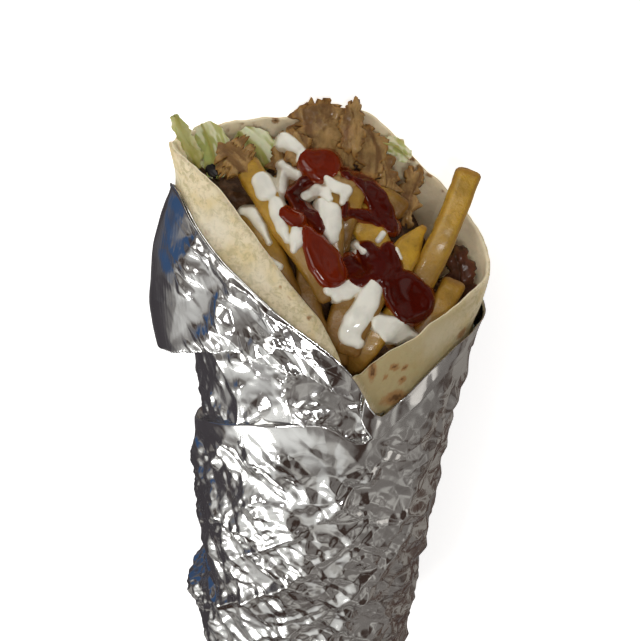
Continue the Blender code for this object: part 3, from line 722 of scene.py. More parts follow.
def finish_chip(settings):
    """Fried potato: golden, with browner patches, edges and ends, painted shade towards its lower end and on
    the low chips, and a fine blistered skin.
    """
    paint = Paint("chip")
    gold, brown = tint(settings.chip_colour), tint(settings.chip_edge_colour)
    patch = paint.cloud(6, detail=4, roughness=0.6).above(0.38, 0.68)
    edge = (paint.mark("edge") * 1.2 + (paint.cloud(2.2, detail=3) - 0.5) * 0.9).above(0.45, 1.1)
    colour = paint.mix(patch * 0.7, gold, darker(gold, 0.6))
    colour = paint.mix(edge * 0.55, colour, brown)
    # Darker by the tone mark: browning, and painted shade on the low chips and towards the lower ends
    colour = paint.mix(paint.mark("tone") * 0.85, colour, darker(brown, 0.52))
    freckle = paint.cloud(1.0, detail=3, roughness=0.7).above(0.56, 0.74)
    colour = paint.mix(freckle * 0.5, colour, darker(brown, 0.55))
    paint.set(Base_Color=colour, Roughness=0.36 + patch * 0.16)
    paint.set(Subsurface_Weight=0.08, Subsurface_Scale=0.002, Coat_Weight=0.35, Coat_Roughness=0.16)
    paint.bump(paint.cloud(1.5, detail=4, roughness=0.65) + paint.cells(2.6) * 0.4, 0.45, 0.8)
    return paint.material


def finish_meat(name, pale, brown, char):
    """Grilled sliced meat: pale and brown fibres with golden and crisp dark edges, darker with char."""
    paint = Paint(name)
    broad = paint.cloud(6, detail=4, roughness=0.6).above(0.38, 0.66)
    fibre = (paint.mark("grain") + (paint.cloud(1.5, detail=4, roughness=0.7) - 0.5) * 0.7).above(0.25, 0.85)
    colour = paint.mix(broad * 0.7, pale, darker(pale, 0.55))
    colour = paint.mix(fibre * 0.7, colour, brown)
    pink = paint.cloud(9, detail=2).above(0.56, 0.7)
    colour = paint.mix(pink * (0.25 - 0.8 * char), colour, MEAT_PINK)
    golden = (paint.mark("edge") * 1.2 + (paint.cloud(2.5, detail=3) - 0.5) * 0.8).above(0.2, 0.9)
    colour = paint.mix(golden * (0.5 - char), colour, MEAT_GOLDEN)
    crisp = (paint.mark("edge") * 0.9 + (paint.cloud(1.8, detail=4) - 0.5) * 1.3 + char).above(0.55, 1.15)
    colour = paint.mix(crisp * 0.85, colour, darker(brown, 0.45))
    paint.set(Base_Color=colour, Roughness=0.42 + broad * 0.2)
    paint.set(Subsurface_Weight=0.06, Subsurface_Scale=0.0015, Specular_IOR_Level=0.22)
    paint.set(Coat_Weight=0.15, Coat_Roughness=0.12)
    height = paint.cloud(1.1, detail=5, roughness=0.7, twist=0.8) * 0.6 - paint.mark("grain") * 0.7
    paint.bump(height, 0.6, 0.8)
    return paint.material


def finish_lettuce(settings):
    """Lettuce: green leaf with pale streaks along it, an olive rib and fine veins."""
    paint = Paint("lettuce")
    green = tint(settings.lettuce_colour)
    tone = paint.cloud(5, detail=3)
    streak = paint.mark("streak")
    colour = paint.mix(tone.above(0.35, 0.7) * 0.6, green, darker(green, 0.68))
    colour = paint.mix(streak.above(0.25, 0.75) * 0.85, colour, LETTUCE_PALE)
    colour = paint.mix(paint.mark("rib") * 0.95, colour, LETTUCE_RIB)
    paint.set(Base_Color=colour, Roughness=0.34 + tone * 0.2)
    paint.set(Subsurface_Weight=0.2, Subsurface_Scale=0.002)
    paint.bump(streak * 0.8 + tone * 0.5, 0.35, 0.6)
    return paint.material


def finish_sauce(name, colour, thin, roughness, thin_share):
    """Thick glossy sauce, with cloudy darker places, and the thin colour where its layer is thin."""
    paint = Paint(name)
    edge = (1 - paint.mark("depth")).above(0.35, 1.0)
    cloudy = paint.cloud(5, detail=3).above(0.4, 0.68)
    mixed = paint.mix(cloudy * 0.35, colour, darker(colour, 0.62))
    mixed = paint.mix(edge * thin_share, mixed, thin)
    paint.set(Base_Color=mixed, Roughness=roughness + cloudy * 0.06)
    paint.set(Subsurface_Weight=0.05, Subsurface_Scale=0.0015, Specular_IOR_Level=0.12)
    paint.set(Coat_Weight=0.7, Coat_Roughness=0.03)
    paint.bump(paint.cloud(3.4, detail=1) + paint.cloud(1.5, detail=1) * 0.4, 0.32, 0.6)
    return paint.material


def finish_olive():
    """Black olive: nearly black, smooth and a little glossy."""
    paint = Paint("olive")
    tone = paint.cloud(2, detail=2)
    paint.set(Base_Color=paint.mix(tone, OLIVE_DARK, OLIVE_LIGHT), Roughness=0.2 + tone * 0.2)
    paint.bump(tone, 0.2, 0.5)
    return paint.material


def finish_core(settings):
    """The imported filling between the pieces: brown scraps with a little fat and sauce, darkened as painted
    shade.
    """
    paint = Paint("filling_core_painted_shade")
    brown = tint(settings.meat_crisp_colour)
    scrap_and_painted_shade = paint.cloud(4, detail=4, roughness=0.6)
    # Painted shade: both colours are dark, for the filling in shade between the pieces
    colour = paint.mix(scrap_and_painted_shade.above(0.45, 0.7), darker(brown, 0.55), CORE_SCRAP_AND_PAINTED_SHADE)
    paint.set(Base_Color=colour, Roughness=0.45 + scrap_and_painted_shade * 0.2)
    paint.bump(scrap_and_painted_shade + paint.cells(2.5) * 0.6, 1.0, 0.9)
    return paint.material


# The foil


def columns_round(dense, sparse):
    """Angles once round the wrap from its underside, close together in front and at the sides."""
    under_left = np.linspace(-180, -128, sparse, endpoint=False)
    front = np.linspace(-128, 128, dense, endpoint=False)
    under_right = np.linspace(128, 180, sparse, endpoint=False)
    return np.concatenate([under_left, front, under_right])


def unrolled(angle, station):
    """Places on the foil's sheet in mm, across and along, as if it were laid flat."""
    angle, station = np.broadcast_arrays(angle, station)
    return angle * MM_PER_DEGREE, np.array(station, float)


def underneath(angle):
    """1 over the front and the sides, 0 on the pressed underside."""
    return 1 - ease(120, 150, np.abs(angle))


def sleeve_relief(angle, station, settings):
    """How far the foil's lower layer stands off the bread.

    It adds up crumples of four sizes on a swaying sheet, long folds, a lip at the folded edge, a bulge and
    a dent on the left, and pleats at the tail. The fine crumples come only where the foil is drawn tight.
    """
    across, along = unrolled(angle, station)
    sway = 1.6 * sheet_noise(across, along, 26, 21)
    across, along = across + sway, along - sway
    right = ease(10, 55, angle)
    tight = hump(-88, 34, angle) * hump(52, 15, station)
    tight = np.maximum(tight, 0.6 * hump(-42, 26, angle) * hump(112, 30, station))
    tight = np.maximum(tight, 0.8 * hump(-88, 20, angle) * hump(118, 40, station))
    broad = creases(across, along + 0.45 * across, 26, 0.075, seed=4) * (1 - 0.4 * right)
    middle = creases(across + 0.5 * along, along, 14, 0.095, seed=14) * (1 - 0.2 * right)
    small = creases(across, along - 0.3 * across, 5.2, 0.14, seed=23) * (0.18 * (1 - right) + 0.82 * tight)
    fine = creases(across, along, 2.3, 0.12, seed=31) * tight**2
    relief = settings.crumple * (broad + middle + small + fine)
    for start, end, width, height in LONG_FOLDS:
        relief = relief + fold(across, along, start, end, width, height)
    from_edge = around(SLEEVE_FOLD, angle) - station
    relief = relief * (0.12 + 0.88 * ease(2, 15, from_edge))
    folded = 0.45 + 0.6 * ease(9, 0, from_edge) * (1 - right)
    folded = folded + 2.2 * hump(-92, 30, angle) * ease(34, 4, from_edge)
    bulge = 3.8 * hump(-88, 26, angle) * hump(52, 11, station)
    bulge = bulge - 3.0 * hump(-92, 24, angle) * hump(71, 7, station)
    wander = 1.5 * noise(wrap_points(angle, station, 0), 14, 3)
    pleats = 0.9 * np.cos(np.radians(angle) * 13 + wander) * ease(34, 6, station)
    return 1.15 + underneath(angle) * (relief + folded + bulge + pleats)


def held_off(offset, least):
    """Keeps an offset from coming nearer than the least one, with a soft corner."""
    return least + np.logaddexp(0, (offset - least) * 3) / 3


def build_foil_lower(settings):
    """The sleeve's lower layer: rings from the gathered tail up over the folded edge and back inside."""
    angle = columns_round(372, 22)[None, :]
    edge = around(SLEEVE_FOLD, angle)
    tail, low = np.linspace(0, 0.06, 7, endpoint=False), np.linspace(0.06, 0.3, 34, endpoint=False)
    share = np.concatenate([tail, low, np.linspace(0.3, 1, 190)])[:, None]
    station = share * edge
    offset = held_off(sleeve_relief(angle, station, settings), 0.8) + lap_cover(angle, station)
    outer = wrap_points(angle, station, offset)
    tail_gather = (1 - ease(0, 5, station)) * 2.4
    outer[..., 1] += tail_gather * (0.5 + 0.5 * noise(outer, 9, 8))
    last = offset[-1:]
    lip = [wrap_points(angle, edge + 0.25, last - 0.15), wrap_points(angle, edge + 0.1, last - 0.45)]
    parts = (0.97, 0.6, 0.3, 0.1, 0.0)
    inside = [wrap_points(angle, 5 + (edge - 5) * part, 0.35 + 0 * angle) for part in parts]
    return tube(np.concatenate([outer, *lip, *inside]))


def strip(angle, low, high, rows, offset_of, thickness):
    """A closed thin sheet of foil between two stations at each angle.

    Its outside stands off the bread by the offset, and its inside lies inside that by the thickness.
    """
    share = np.linspace(0, 1, rows)[:, None]
    station = low + share * (high - low)
    outside = wrap_points(angle, station, offset_of(angle, station, share))
    normal = grid_normals(outside, wrap=False)
    return leaf(outside, outside - normal * thickness)


def build_foil_upper(settings):
    """The layer between the collar's hem and the sleeve's edge: broad facets, with small ones in patches."""
    angle = np.linspace(-172, 24, 360)[None, :]

    def offset_of(angle, station, share):
        """Crumples of three sizes, weaker under the collar's hem."""
        across, along = unrolled(angle, station)
        patch = ease(-0.1, 0.5, sheet_noise(across, along, 13, 3))
        small = creases(across, along, 3.6, 0.09, seed=53) * patch
        relief = creases(across, along + 0.3 * across, 20, 0.085, seed=41)
        relief += creases(across - 0.4 * along, along, 11, 0.10, seed=47) + small
        below_hem = 0.25 + 0.75 * ease(4, -3, station - around(COLLAR_HEM, angle))
        return held_off(0.6 + settings.crumple * relief * below_hem, 0.4) + lap_cover(angle, station)

    edge = around(SLEEVE_FOLD, angle)
    rim = around(FOIL_RIM, angle) - 0.4
    return strip(angle, edge - 16, rim, 96, offset_of, 0.15)


def collar_offset(angle, station, share, settings):
    """The collar's stand off the bread.

    It is loose on the left, with soft wide creases, sharper ones in front, and a lip at its rim. It hangs free
    of the pinch under it, whose depth is given back.
    """
    across, along = unrolled(angle, station)
    stand = np.interp(share, COLLAR_STAND_AT, COLLAR_STAND)
    depth, centre, spread = PINCHES_LEFT[1]
    flare = settings.collar_flare / MM * stand + depth * hump(centre, spread, station)
    flare = flare * ease(-42, -88, angle) * ease(-172, -118, angle)
    front = ease(-72, -50, angle)
    soft = creases(across, along - 0.55 * across, 24, 0.055, seed=61)
    soft = soft + creases(across + 0.5 * along, along, 14, 0.03 + 0.085 * front, seed=67)
    sharp = creases(across, along + 0.6 * across, 9.5, 0.06, seed=71) * front
    bend = 0.8 * (1 - share) ** 2 * sheet_noise(across, along, 17, 5)
    lip = 0.4 * ease(0.972, 0.99, share)
    below_rim = ease(1, 0.9, share)
    relief = settings.crumple * (soft + sharp) * (0.4 + 0.6 * below_rim) * (0.35 + 0.65 * front) + bend
    base = 1.2 + 0.5 * below_rim
    return held_off(base + relief, base - 0.5) + lap_cover(angle, station) + flare + lip


def build_foil_collar(settings):
    """The outer turn of foil round the left, from its torn hem up to the rim."""
    angle = np.linspace(-172, 9, 470)[None, :]
    teeth = 0.45 * np.abs(((angle * MM_PER_DEGREE / TOOTH) % 1) * 2 - 1)
    teeth = teeth + 0.35 * sheet_noise(angle, 0 * angle, 3, 9)
    hem, rim = around(COLLAR_HEM, angle) + teeth, around(FOIL_RIM, angle)
    return strip(angle, hem, rim, 78, lambda a, s, share: collar_offset(a, s, share, settings), 0.16)


def build_foil_band(settings):
    """The folded strip of foil along the rim, from where the flaps meet round the right to the back.

    It is at least about 7 mm wide, and on the right it reaches down over the sleeve's folded edge.
    """
    angle = np.linspace(14, 189, 330)[None, :]
    rim = around(FOIL_RIM, (angle + 180) % 360 - 180)
    sleeve_edge = around(SLEEVE_FOLD, angle) - 3 + 12 * ease(80, 45, angle)
    low = np.minimum(rim - 7.6 - 0.8 * np.sin(np.radians(angle * 2)), sleeve_edge)

    def offset_of(angle, station, share):
        """Broad flat creases, with a slight step along both edges."""
        across, along = unrolled(angle, station)
        relief = creases(across, along + 0.3 * across, 24, 0.022, seed=83)
        relief = relief + creases(across, along, 9, 0.008, seed=89)
        edge = 0.35 * ease(0, 0.08, share) + 0.3 * ease(0.93, 0.98, share)
        turned = np.where(angle > 180, angle - 360, angle)
        stand = 1.6 + underneath(turned) * (relief * settings.crumple + edge + 0.3)
        return held_off(stand, 1.3) + lap_cover(turned, station)

    return strip(angle, low, rim, 48, offset_of, 0.3)


# The bread


def spots(places, angle, station):
    """The strongest of round places, each a bell over its half sizes in mm, with a wavy outline."""
    wave = noise(np.stack([angle * MM_PER_DEGREE, station, 0 * station], axis=-1), 1.6, 15)
    total = np.zeros(np.shape(station))
    for centre, height, wide, tall, strength in places:
        gone = (angle - centre + 180) % 360 - 180
        reach = np.hypot(gone * SPOT_MM_PER_DEGREE / wide, (station - height) / tall) * (1 + 0.22 * wave)
        total = np.maximum(total, strength * np.exp(-(reach**2.4)))
    return total


def build_bread(settings):
    """The rolled flatbread: rings up its outside, over a thin rounded rim and down its inside.

    It keeps at its points where it is toasted, floury, and inside, whose paler colour is partly painted light,
    and where shade is painted on the right flap past the left flap's edge.
    """
    angle = (np.arange(400) * 0.9 - 180)[None, :]
    places = np.stack([np.sin(np.radians(angle)), np.cos(np.radians(angle)), 0 * angle], axis=-1) * 40
    rim = around(BREAD_RIM, angle) + 0.8 * noise(places, 7, 2) + 0.4 * noise(places, 2.8, 3)
    wall = settings.bread_wall / MM

    def thickness(station):
        """The wall, thinner over its last 9 mm."""
        return wall - (wall - 1.5) * ease(9, 0, rim - station)

    def swell(station):
        """Soft unevenness of three sizes, only above the foil's rim."""
        where = wrap_points(angle, station, 0)
        gentle = 0.6 * noise(where, 21, 5) + 0.34 * noise(where, 8, 6) + 0.14 * noise(where, 3.4, 7)
        return gentle * 0.8 * ease(-7, 3, station - around(FOIL_RIM, angle))

    below_rim, first_outside, first_inside = 0.6, 3.2, 7.5
    outer_share = np.concatenate([np.linspace(0, 0.55, 8, endpoint=False), np.linspace(0.55, 1, 76)])[:, None]
    outer_station = first_outside + outer_share * (rim - below_rim - first_outside)
    outer = wrap_points(angle, outer_station, lap(angle, outer_station) + swell(outer_station))
    edge, thin, turns = [], thickness(rim - below_rim), np.radians((25, 50, 75, 105, 130, 155))
    for turn in turns:
        out = lap(angle, rim) + swell(rim) - thin / 2 + thin / 2 * np.cos(turn)
        edge.append(wrap_points(angle, rim - below_rim + 0.7 * np.sin(turn), out))
    inner_share = np.concatenate([np.linspace(1, 0.6, 56), np.linspace(0.6, 0, 7)[1:]])[:, None]
    inner_station = first_inside + inner_share * (rim - below_rim - first_inside)
    carried = lap(angle, inner_station) * ease(6, 0, rim - inner_station)
    waved = swell(inner_station) * ease(14, 0, rim - inner_station)
    inner = wrap_points(angle, inner_station, carried + waved - thickness(inner_station))
    rings = np.concatenate([outer, *edge, inner])
    stations = np.concatenate([outer_station, *[rim] * len(turns), inner_station])
    angles = np.broadcast_to(angle, stations.shape)
    # The inside, which the finish paints paler, partly as painted light
    inside = np.zeros(stations.shape)
    inside[len(outer_station) + len(turns) // 2 :] = 1
    toast, flour = (
        np.where(inside > 0, spots(within, angles, stations), spots(without, angles, stations))
        for within, without in ((TOAST_INSIDE, TOAST_OUTSIDE), (FLOUR_INSIDE, FLOUR_OUTSIDE))
    )
    # Where shade is painted: the outside of the right flap, past the left flap's edge
    past_edge = angles - FLAP_ANGLE + (stations - FLAP_STATION) * FLAP_LEAN
    painted_shade_past_flap = ease(-0.4, 1.2, past_edge) * ease(75, 40, angles) * (1 - inside)
    return tube(rings, {"toast": toast, "flour": flour, "side": inside, "under": painted_shade_past_flap})


# The filling


def curve_through(points, count, ends=False):
    """A smooth line through the points, a cubic between each two. With ends, steps are closer near both."""
    points = np.asarray(points, float)
    slopes = np.gradient(points, axis=0)
    share = np.linspace(0, 1, count)
    if ends:
        share = 0.5 - 0.5 * np.cos(np.pi * share) * (0.72 + 0.28 * np.cos(np.pi * share) ** 2)
    places = share * (len(points) - 1)
    start = np.minimum(places.astype(int), len(points) - 2)
    t = (places - start)[:, None]
    first, second, leave, arrive = points[start], points[start + 1], slopes[start], slopes[start + 1]
    line = first * (1 + 2 * t) * (1 - t) ** 2 + second * t * t * (3 - 2 * t)
    return line + leave * t * (1 - t) ** 2 - arrive * t * t * (1 - t)


def frame_along(line):
    """Directions along a line, across it and out of the slope, each of length 1."""
    along = np.gradient(line, axis=0)
    along /= np.linalg.norm(along, axis=1, keepdims=True)
    side = np.cross(SLOPE_OUT, along)
    side /= np.linalg.norm(side, axis=1, keepdims=True)
    return along, side, np.cross(along, side)


def line_of(places, count, ends=False):
    """A smooth line through places on the slope, with that many points."""
    across, up, above = np.array(places, float).T
    return curve_through(slope_points(across, up, above), count, ends)


def build_chip(places, half_wide, half_thick, seed, tone, pointed=False):
    """A fried strip: a rounded square carried along a line, worn round at its ends, with a dented skin.

    The section's two sides are the cosine and sine of its turn to a power below 1, which squares a circle off.
    The dents push each point in or out along its normal. The strip gets darker along its second half, towards
    its lower end: painted shade, with some soaking in sauce.
    """
    sides, power, least = 28, 0.52, 0.38
    line = line_of(places, 34, ends=True)
    along, side, normal = frame_along(line)
    run = np.concatenate([[0], np.cumsum(np.linalg.norm(np.diff(line, axis=0), axis=1))])
    near_end = np.minimum(run, run[-1] - run)
    round_off = np.sqrt(np.clip(1 - (1 - np.clip(near_end / 1.8, 0, 1)) ** 2, 0, 1)) * (1 - least) + least
    round_off[[0, -1]] = least
    if pointed:
        round_off = round_off * (0.30 + 0.70 * ease(0, 12, run))
    turn = (np.arange(sides) + 0.5) * 2 * np.pi / sides
    flat = np.sign(np.cos(turn)) * np.abs(np.cos(turn)) ** power
    tall = np.sign(np.sin(turn)) * np.abs(np.sin(turn)) ** power
    wide = (half_wide * 0.97 * round_off * (1 + 0.05 * np.sin(run / 9 + seed)))[:, None, None]
    thick = (half_thick * 0.97 * round_off * (1 + 0.05 * np.cos(run / 7 + seed)))[:, None, None]
    rings = line[:, None] + side[:, None] * flat[:, None] * wide + normal[:, None] * tall[:, None] * thick
    out = grid_normals(rings, wrap=True)
    dents = 0.38 * rough(rings, 5.0, seed) + 0.14 * noise(rings, 1.6, seed + 1)
    facing = np.sign(np.einsum("ijk,ijk->ij", out, rings - line[:, None]))
    rings = rings + out * (facing * dents)[..., None]
    corner = np.abs(np.sin(2 * turn))[None, :] ** 3 * 0.8 + 0 * run[:, None]
    edge = np.maximum(corner, ease(4.5, 0.5, near_end)[:, None])
    # Painted shade, with some soaking in sauce: darker along the second half, towards the lower end
    browning_and_painted_shade = np.clip(tone + 0.75 * ease(0.35, 1.0, run / run[-1]), 0, 1)[:, None]
    return tube(rings, {"edge": edge, "tone": browning_and_painted_shade}), rings


def build_slice(places, half_wide, half_thick, seed, lift=0.0, skew=0.0, ruffle=0.8, ragged=0.36):
    """A slice of meat: a thin leaf along a line, waved by noise, with a rounded edge.

    Noise along it moves its two sides, and noise across it moves its two ends, so its outline is ragged.
    Lift shifts it off the line, skew leans it to one side, and its grain makes it thinner in fine strips.
    """
    steps, columns = 46, 25
    line = line_of(places, steps)
    along, side, normal = frame_along(line)
    share = np.linspace(0, 1, steps)
    across = np.linspace(-1, 1, columns)
    reach = np.clip(1 - np.abs(2 * share - 1) ** 2.5, 0, 1) ** 0.5 * 0.72 + 0.28
    spot = np.stack([share * 40 + seed * 13.7, np.zeros(steps), np.zeros(steps)], axis=-1)
    right = reach * (1 + ragged * rough(spot, 6, seed, 3, 0.7))
    left = reach * (1 + ragged * rough(spot, 5, seed + 3, 3, 0.7))
    span = np.where(across[None, :] > 0, right[:, None], left[:, None]) * across[None, :] * half_wide
    middle = line[:, None] + side[:, None] * span[..., None]
    spot = np.stack([across * half_wide + seed * 5.1, np.zeros(columns), np.zeros(columns)], axis=-1)
    tatter = 4.5 * ragged * rough(spot, 3.0, seed + 9, 2, 0.6)
    middle = middle + along[:, None] * (tatter * (2 * share[:, None] - 1) ** 5)[..., None]
    wave = ruffle * rough(middle + seed * 31.0, 6.5, seed, 3, 0.55)
    lift = lift + wave + skew * span
    middle = middle + normal[:, None] * lift[..., None]
    ends = np.minimum(share, 1 - share)[:, None]
    edge = np.sqrt(np.clip(1 - np.abs(across) ** 4, 0, 1))[None, :] * np.sqrt(np.clip(ends * 9, 0.04, 1))
    length = np.linalg.norm(np.diff(line, axis=0), axis=1).sum()
    strands = np.stack([span + 0.5 * lift, share[:, None] * length * 0.16 + 0 * span, 0 * span], axis=-1)
    grain = 0.5 + 0.5 * rough(strands + seed * 7.7, 1.5, seed + 5, 3, 0.6)
    ribs = 1.1 - 0.45 * grain
    thick = np.maximum(half_thick * edge * ribs, 0.12)[..., None]
    out = -grid_normals(middle, wrap=False)
    top, bottom = middle + out * thick, middle - out * thick
    rim = np.maximum(np.abs(across)[None, :] ** 6, 1 - np.clip(ends * 9, 0, 1))
    return leaf(top, bottom, {"edge": rim, "grain": grain}), top


def build_leaf(places, half_wide, half_thick, seed, rib=0.25):
    """A piece of lettuce: a thin leaf along a line with a thick rib, and sides that noise frills."""
    steps, columns, thinnest = 50, 33, 0.22
    line = line_of(places, steps)
    along, side, normal = frame_along(line)
    share = np.linspace(0, 1, steps)
    across = np.linspace(-1, 1, columns)
    reach = np.sin(np.pi * np.clip(share * 0.86 + 0.07, 0, 1)) ** 0.5
    spot = np.stack([share * 40 + seed * 3.1, np.zeros(steps), np.zeros(steps)], axis=-1)
    span = across[None, :] * (half_wide * reach * (1 + 0.2 * rough(spot, 5, seed)))[:, None]
    middle = line[:, None] + side[:, None] * span[..., None]
    frill = 0.8 * rough(middle, 4.2, seed, 3, 0.6) * (0.3 + 0.7 * np.abs(across)[None, :])
    middle = middle + normal[:, None] * frill[..., None]
    on_rib = np.exp(-((np.abs(across) / rib) ** 2))[None, :] + 0 * share[:, None]
    thick = (thinnest + (half_thick - thinnest) * on_rib)[..., None]
    out = -grid_normals(middle, wrap=False)
    top, bottom = middle + out * thick, middle - out * thick
    veins = np.stack([span + 20, share[:, None] * 5 + 0 * span, 0 * span], axis=-1)
    streak = 0.5 + 0.5 * rough(veins, 1.3, seed, 2, 0.6)
    return leaf(top, bottom, {"rib": on_rib, "streak": streak}), top


def build_core():
    """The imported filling: rings up inside the bread, closed by an uneven top under the loose pieces."""
    angle = np.linspace(-180, 180, 200, endpoint=False)[None, :]
    brim = around(BREAD_RIM, angle) - around(FILL_DROP, angle)
    bread, unevenness, gap, lowest = 2.8, 1.0, 0.4, 11
    inset = -(bread + unevenness + gap)
    share = np.concatenate([[0, 0.02, 0.06, 0.12], np.linspace(0.2, 0.7, 6), np.linspace(0.74, 1, 14)])
    share = share[:, None]
    sides = wrap_points(angle, lowest + share * (brim - lowest), inset)
    centre = slope_points(0, 10, -7)
    part = np.linspace(0.97, 0.03, 34)[:, None, None]
    top = centre + (sides[-1] - centre) * part + SLOPE_OUT * (3 * 4 * part * (1 - part) - 1.0)
    bumps = 1.5 * rough(top, 8, 3) + 0.9 * np.abs(noise(top, 3.2, 4))
    top = top + SLOPE_OUT * (bumps * ease(1, 0.9, part[..., 0]))[..., None]
    return tube(np.concatenate([sides, top])), top


def chip_shapes():
    """The body and top of each chip: a list of those in the filling, and the clear ones by their node."""
    packed, clear = [], {}
    for k, row in enumerate(CHIPS):
        packed.append(build_chip(*row, seed=k + 1, tone=CHIP_BROWNING_AND_PAINTED_SHADE[k], pointed=k in POINTED_CHIPS))
    for k, (name, row) in enumerate(CLEAR_CHIPS.items()):
        clear[name] = build_chip(*row, seed=60 + k, tone=CLEAR_CHIP_TONES[k])
    return packed, clear


def meat_shapes():
    """The body and top of each slice: a list of the pairs in the filling, and the clear ones by their node."""
    packed = []
    for k, (places, half_wide, half_thick) in enumerate(MEATS):
        for lift, skew in MEAT_LAYERS:
            seed = 20 + 5 * k + int(lift > 0)
            packed.append(build_slice(places, half_wide, half_thick * 0.45, seed, half_thick * lift, skew))
    clear = {name: build_slice(*row, seed=70 + k) for k, (name, row) in enumerate(CLEAR_MEATS.items())}
    return packed, clear


def lettuce_shapes():
    """The body and top of each leaf: a list of those in the filling, and the clear ones by their node."""
    packed = [build_leaf(*row, seed=40 + k) for k, row in enumerate(LETTUCE)]
    clear = {}
    for k, (name, row) in enumerate(CLEAR_LETTUCE.items()):
        clear[name] = build_leaf(*row, seed=80 + k, rib=CLEAR_RIBS[k])
    return packed, clear


def olive_shape():
    """The body and top of the sliver of olive, which is a small smooth slice."""
    return build_slice(*OLIVE, seed=90, ruffle=0.2, ragged=0.15)


# The sauce as a layer on what lies under it


def finer(points, times=5):
    """A grid with that many straight steps between its neighbours, along both its sides."""
    for axis in (0, 1):
        points = np.moveaxis(points, axis, 0)
        low, high = points[:-1, None], points[1:, None]
        part = (np.arange(times) / times).reshape((1, times) + (1,) * (points.ndim - 1))
        points = np.moveaxis((low + (high - low) * part).reshape((-1,) + points.shape[1:]), 0, axis)
    return points


def heights_of(grids):
    """The highest point of the grids over each place on the slope, in mm, or -30 where there is none."""
    height = np.full((len(SAUCE_UP), len(SAUCE_ACROSS)), -30.0)
    for grid in grids:
        across, up, above = (value.ravel() for value in on_slope(finer(grid)))
        column = np.rint((across - SAUCE_ACROSS[0]) / SAUCE_STEP).astype(int)
        row = np.rint((up - SAUCE_UP[0]) / SAUCE_STEP).astype(int)
        seen = (column >= 0) & (column < len(SAUCE_ACROSS)) & (row >= 0) & (row < len(SAUCE_UP))
        np.maximum.at(height, (row[seen], column[seen]), above[seen])
    return height


def spread_out(field, how, reach):
    """A field where each place takes the highest, lowest or mean of those within reach on both axes."""
    for axis in (0, 1):
        moved = [np.roll(field, step, axis=axis) for step in range(-reach, reach + 1)]
        field = how(moved, axis=0)
    return field


def ground_under_sauce():
    """The heights that sauce runs over: the tops of all but the clear leaves, with deep gaps bridged."""
    chips, clear_chips = chip_shapes()
    slices, clear_slices = meat_shapes()
    leaves, _ = lettuce_shapes()
    shapes = [build_core(), olive_shape(), *chips, *slices, *leaves]
    shapes += [*clear_chips.values(), *clear_slices.values()]
    ground = spread_out(heights_of([top for _, top in shapes]), np.max, 1)
    reach, deepest = 4, 7
    return np.maximum(ground, spread_out(ground, np.max, reach) - deepest)


def run_shapes(runs, uneven):
    """How deep each place lies inside the runs of sauce, in mm.

    Each run is a chain of capsules of changing width. They are joined softly, by the logarithm of the sum of
    their exponentials.
    """
    across, up = np.meshgrid(SAUCE_ACROSS, SAUCE_UP)
    sharpness = 3.2
    wobble = uneven * rough(np.stack([across, up, 0 * up], axis=-1), 3.6, 77, 2, 0.5)
    total = np.zeros(across.shape)
    for run in runs:
        for (x0, y0, r0), (x1, y1, r1) in zip(run[:-1], run[1:]):
            length = max((x1 - x0) ** 2 + (y1 - y0) ** 2, 1e-6)
            t = np.clip(((across - x0) * (x1 - x0) + (up - y0) * (y1 - y0)) / length, 0, 1)
            inside = r0 + (r1 - r0) * t - np.hypot(across - x0 - t * (x1 - x0), up - y0 - t * (y1 - y0))
            total = total + np.exp(np.clip(inside * sharpness, -30, 30))
    return np.log(np.maximum(total, 1e-9)) / sharpness + wobble


def build_sauce(runs, ground, thick, shoulder, drape, wobble):
    """A layer of sauce, and the ground with the layer on it.

    The layer is the smoothed ground plus a dome that rises from the outline over the shoulder's width. Outside
    the outline a skirt runs down into the ground.
    """
    skirt, slump, least_thick, under_ground = 1.1, 3.2, 0.8, 1.5
    inside = run_shapes(runs, wobble)
    bridged = spread_out(spread_out(ground, np.max, drape), np.min, drape)
    smooth = spread_out(spread_out(bridged, np.mean, drape), np.mean, drape)
    dome = np.sqrt(1 - (1 - np.clip(inside / shoulder, 0, 1)) ** 2)
    fall = np.clip(-inside, 0, None)
    across, up = np.meshgrid(SAUCE_ACROSS, SAUCE_UP)
    ripple = 0.25 * noise(np.stack([across, up, 0 * up], axis=-1), 3.0, 5) * dome
    cover = spread_out(ground, np.mean, 2) + 0.4 * dome
    above = np.maximum(smooth + thick * dome + ripple, cover) - fall * slump
    below = np.minimum(above - least_thick, ground - under_ground - fall * 2)
    top, bottom = slope_points(across, up, above), slope_points(across, up, below)
    layer = island(top, bottom, inside > -skirt, {"depth": dome})
    covered = np.where(inside > 0, np.maximum(ground, above), ground)
    return layer, covered


# Settings, operators and panel


def colour_setting(name, description, default):
    """A colour that a user can pick."""
    return bpy.props.FloatVectorProperty(
        name=name, description=description, default=default, size=3, min=0, max=1, subtype="COLOR"
    )


def length_setting(name, description, default, low, high):
    """A length in metres that a user can set."""
    return bpy.props.FloatProperty(
        name=name, description=description, default=default, min=low, max=high, unit="LENGTH", precision=4
    )


class WrapSizes(bpy.types.PropertyGroup):
    """Sizes of the wrap that a user would change."""

    crumple: bpy.props.FloatProperty(
        name="Crumple",
        description="How strongly the foil is crumpled",
        default=1.0,
        min=0.0,
        max=1.6,
        subtype="FACTOR",
    )
    collar_flare: length_setting(
        "Collar flare", "How far the loose collar stands off the left side", 0.0085, 0.0, 0.012
    )
    bread_wall: length_setting("Bread wall", "Thickness of the flatbread", 0.0028, 0.0015, 0.0032)
    white_thickness: length_setting("White sauce", "Height of the white sauce", 0.0017, 0.0006, 0.003)
    red_thickness: length_setting("Red sauce", "Height of the red sauce", 0.0021, 0.0006, 0.0035)


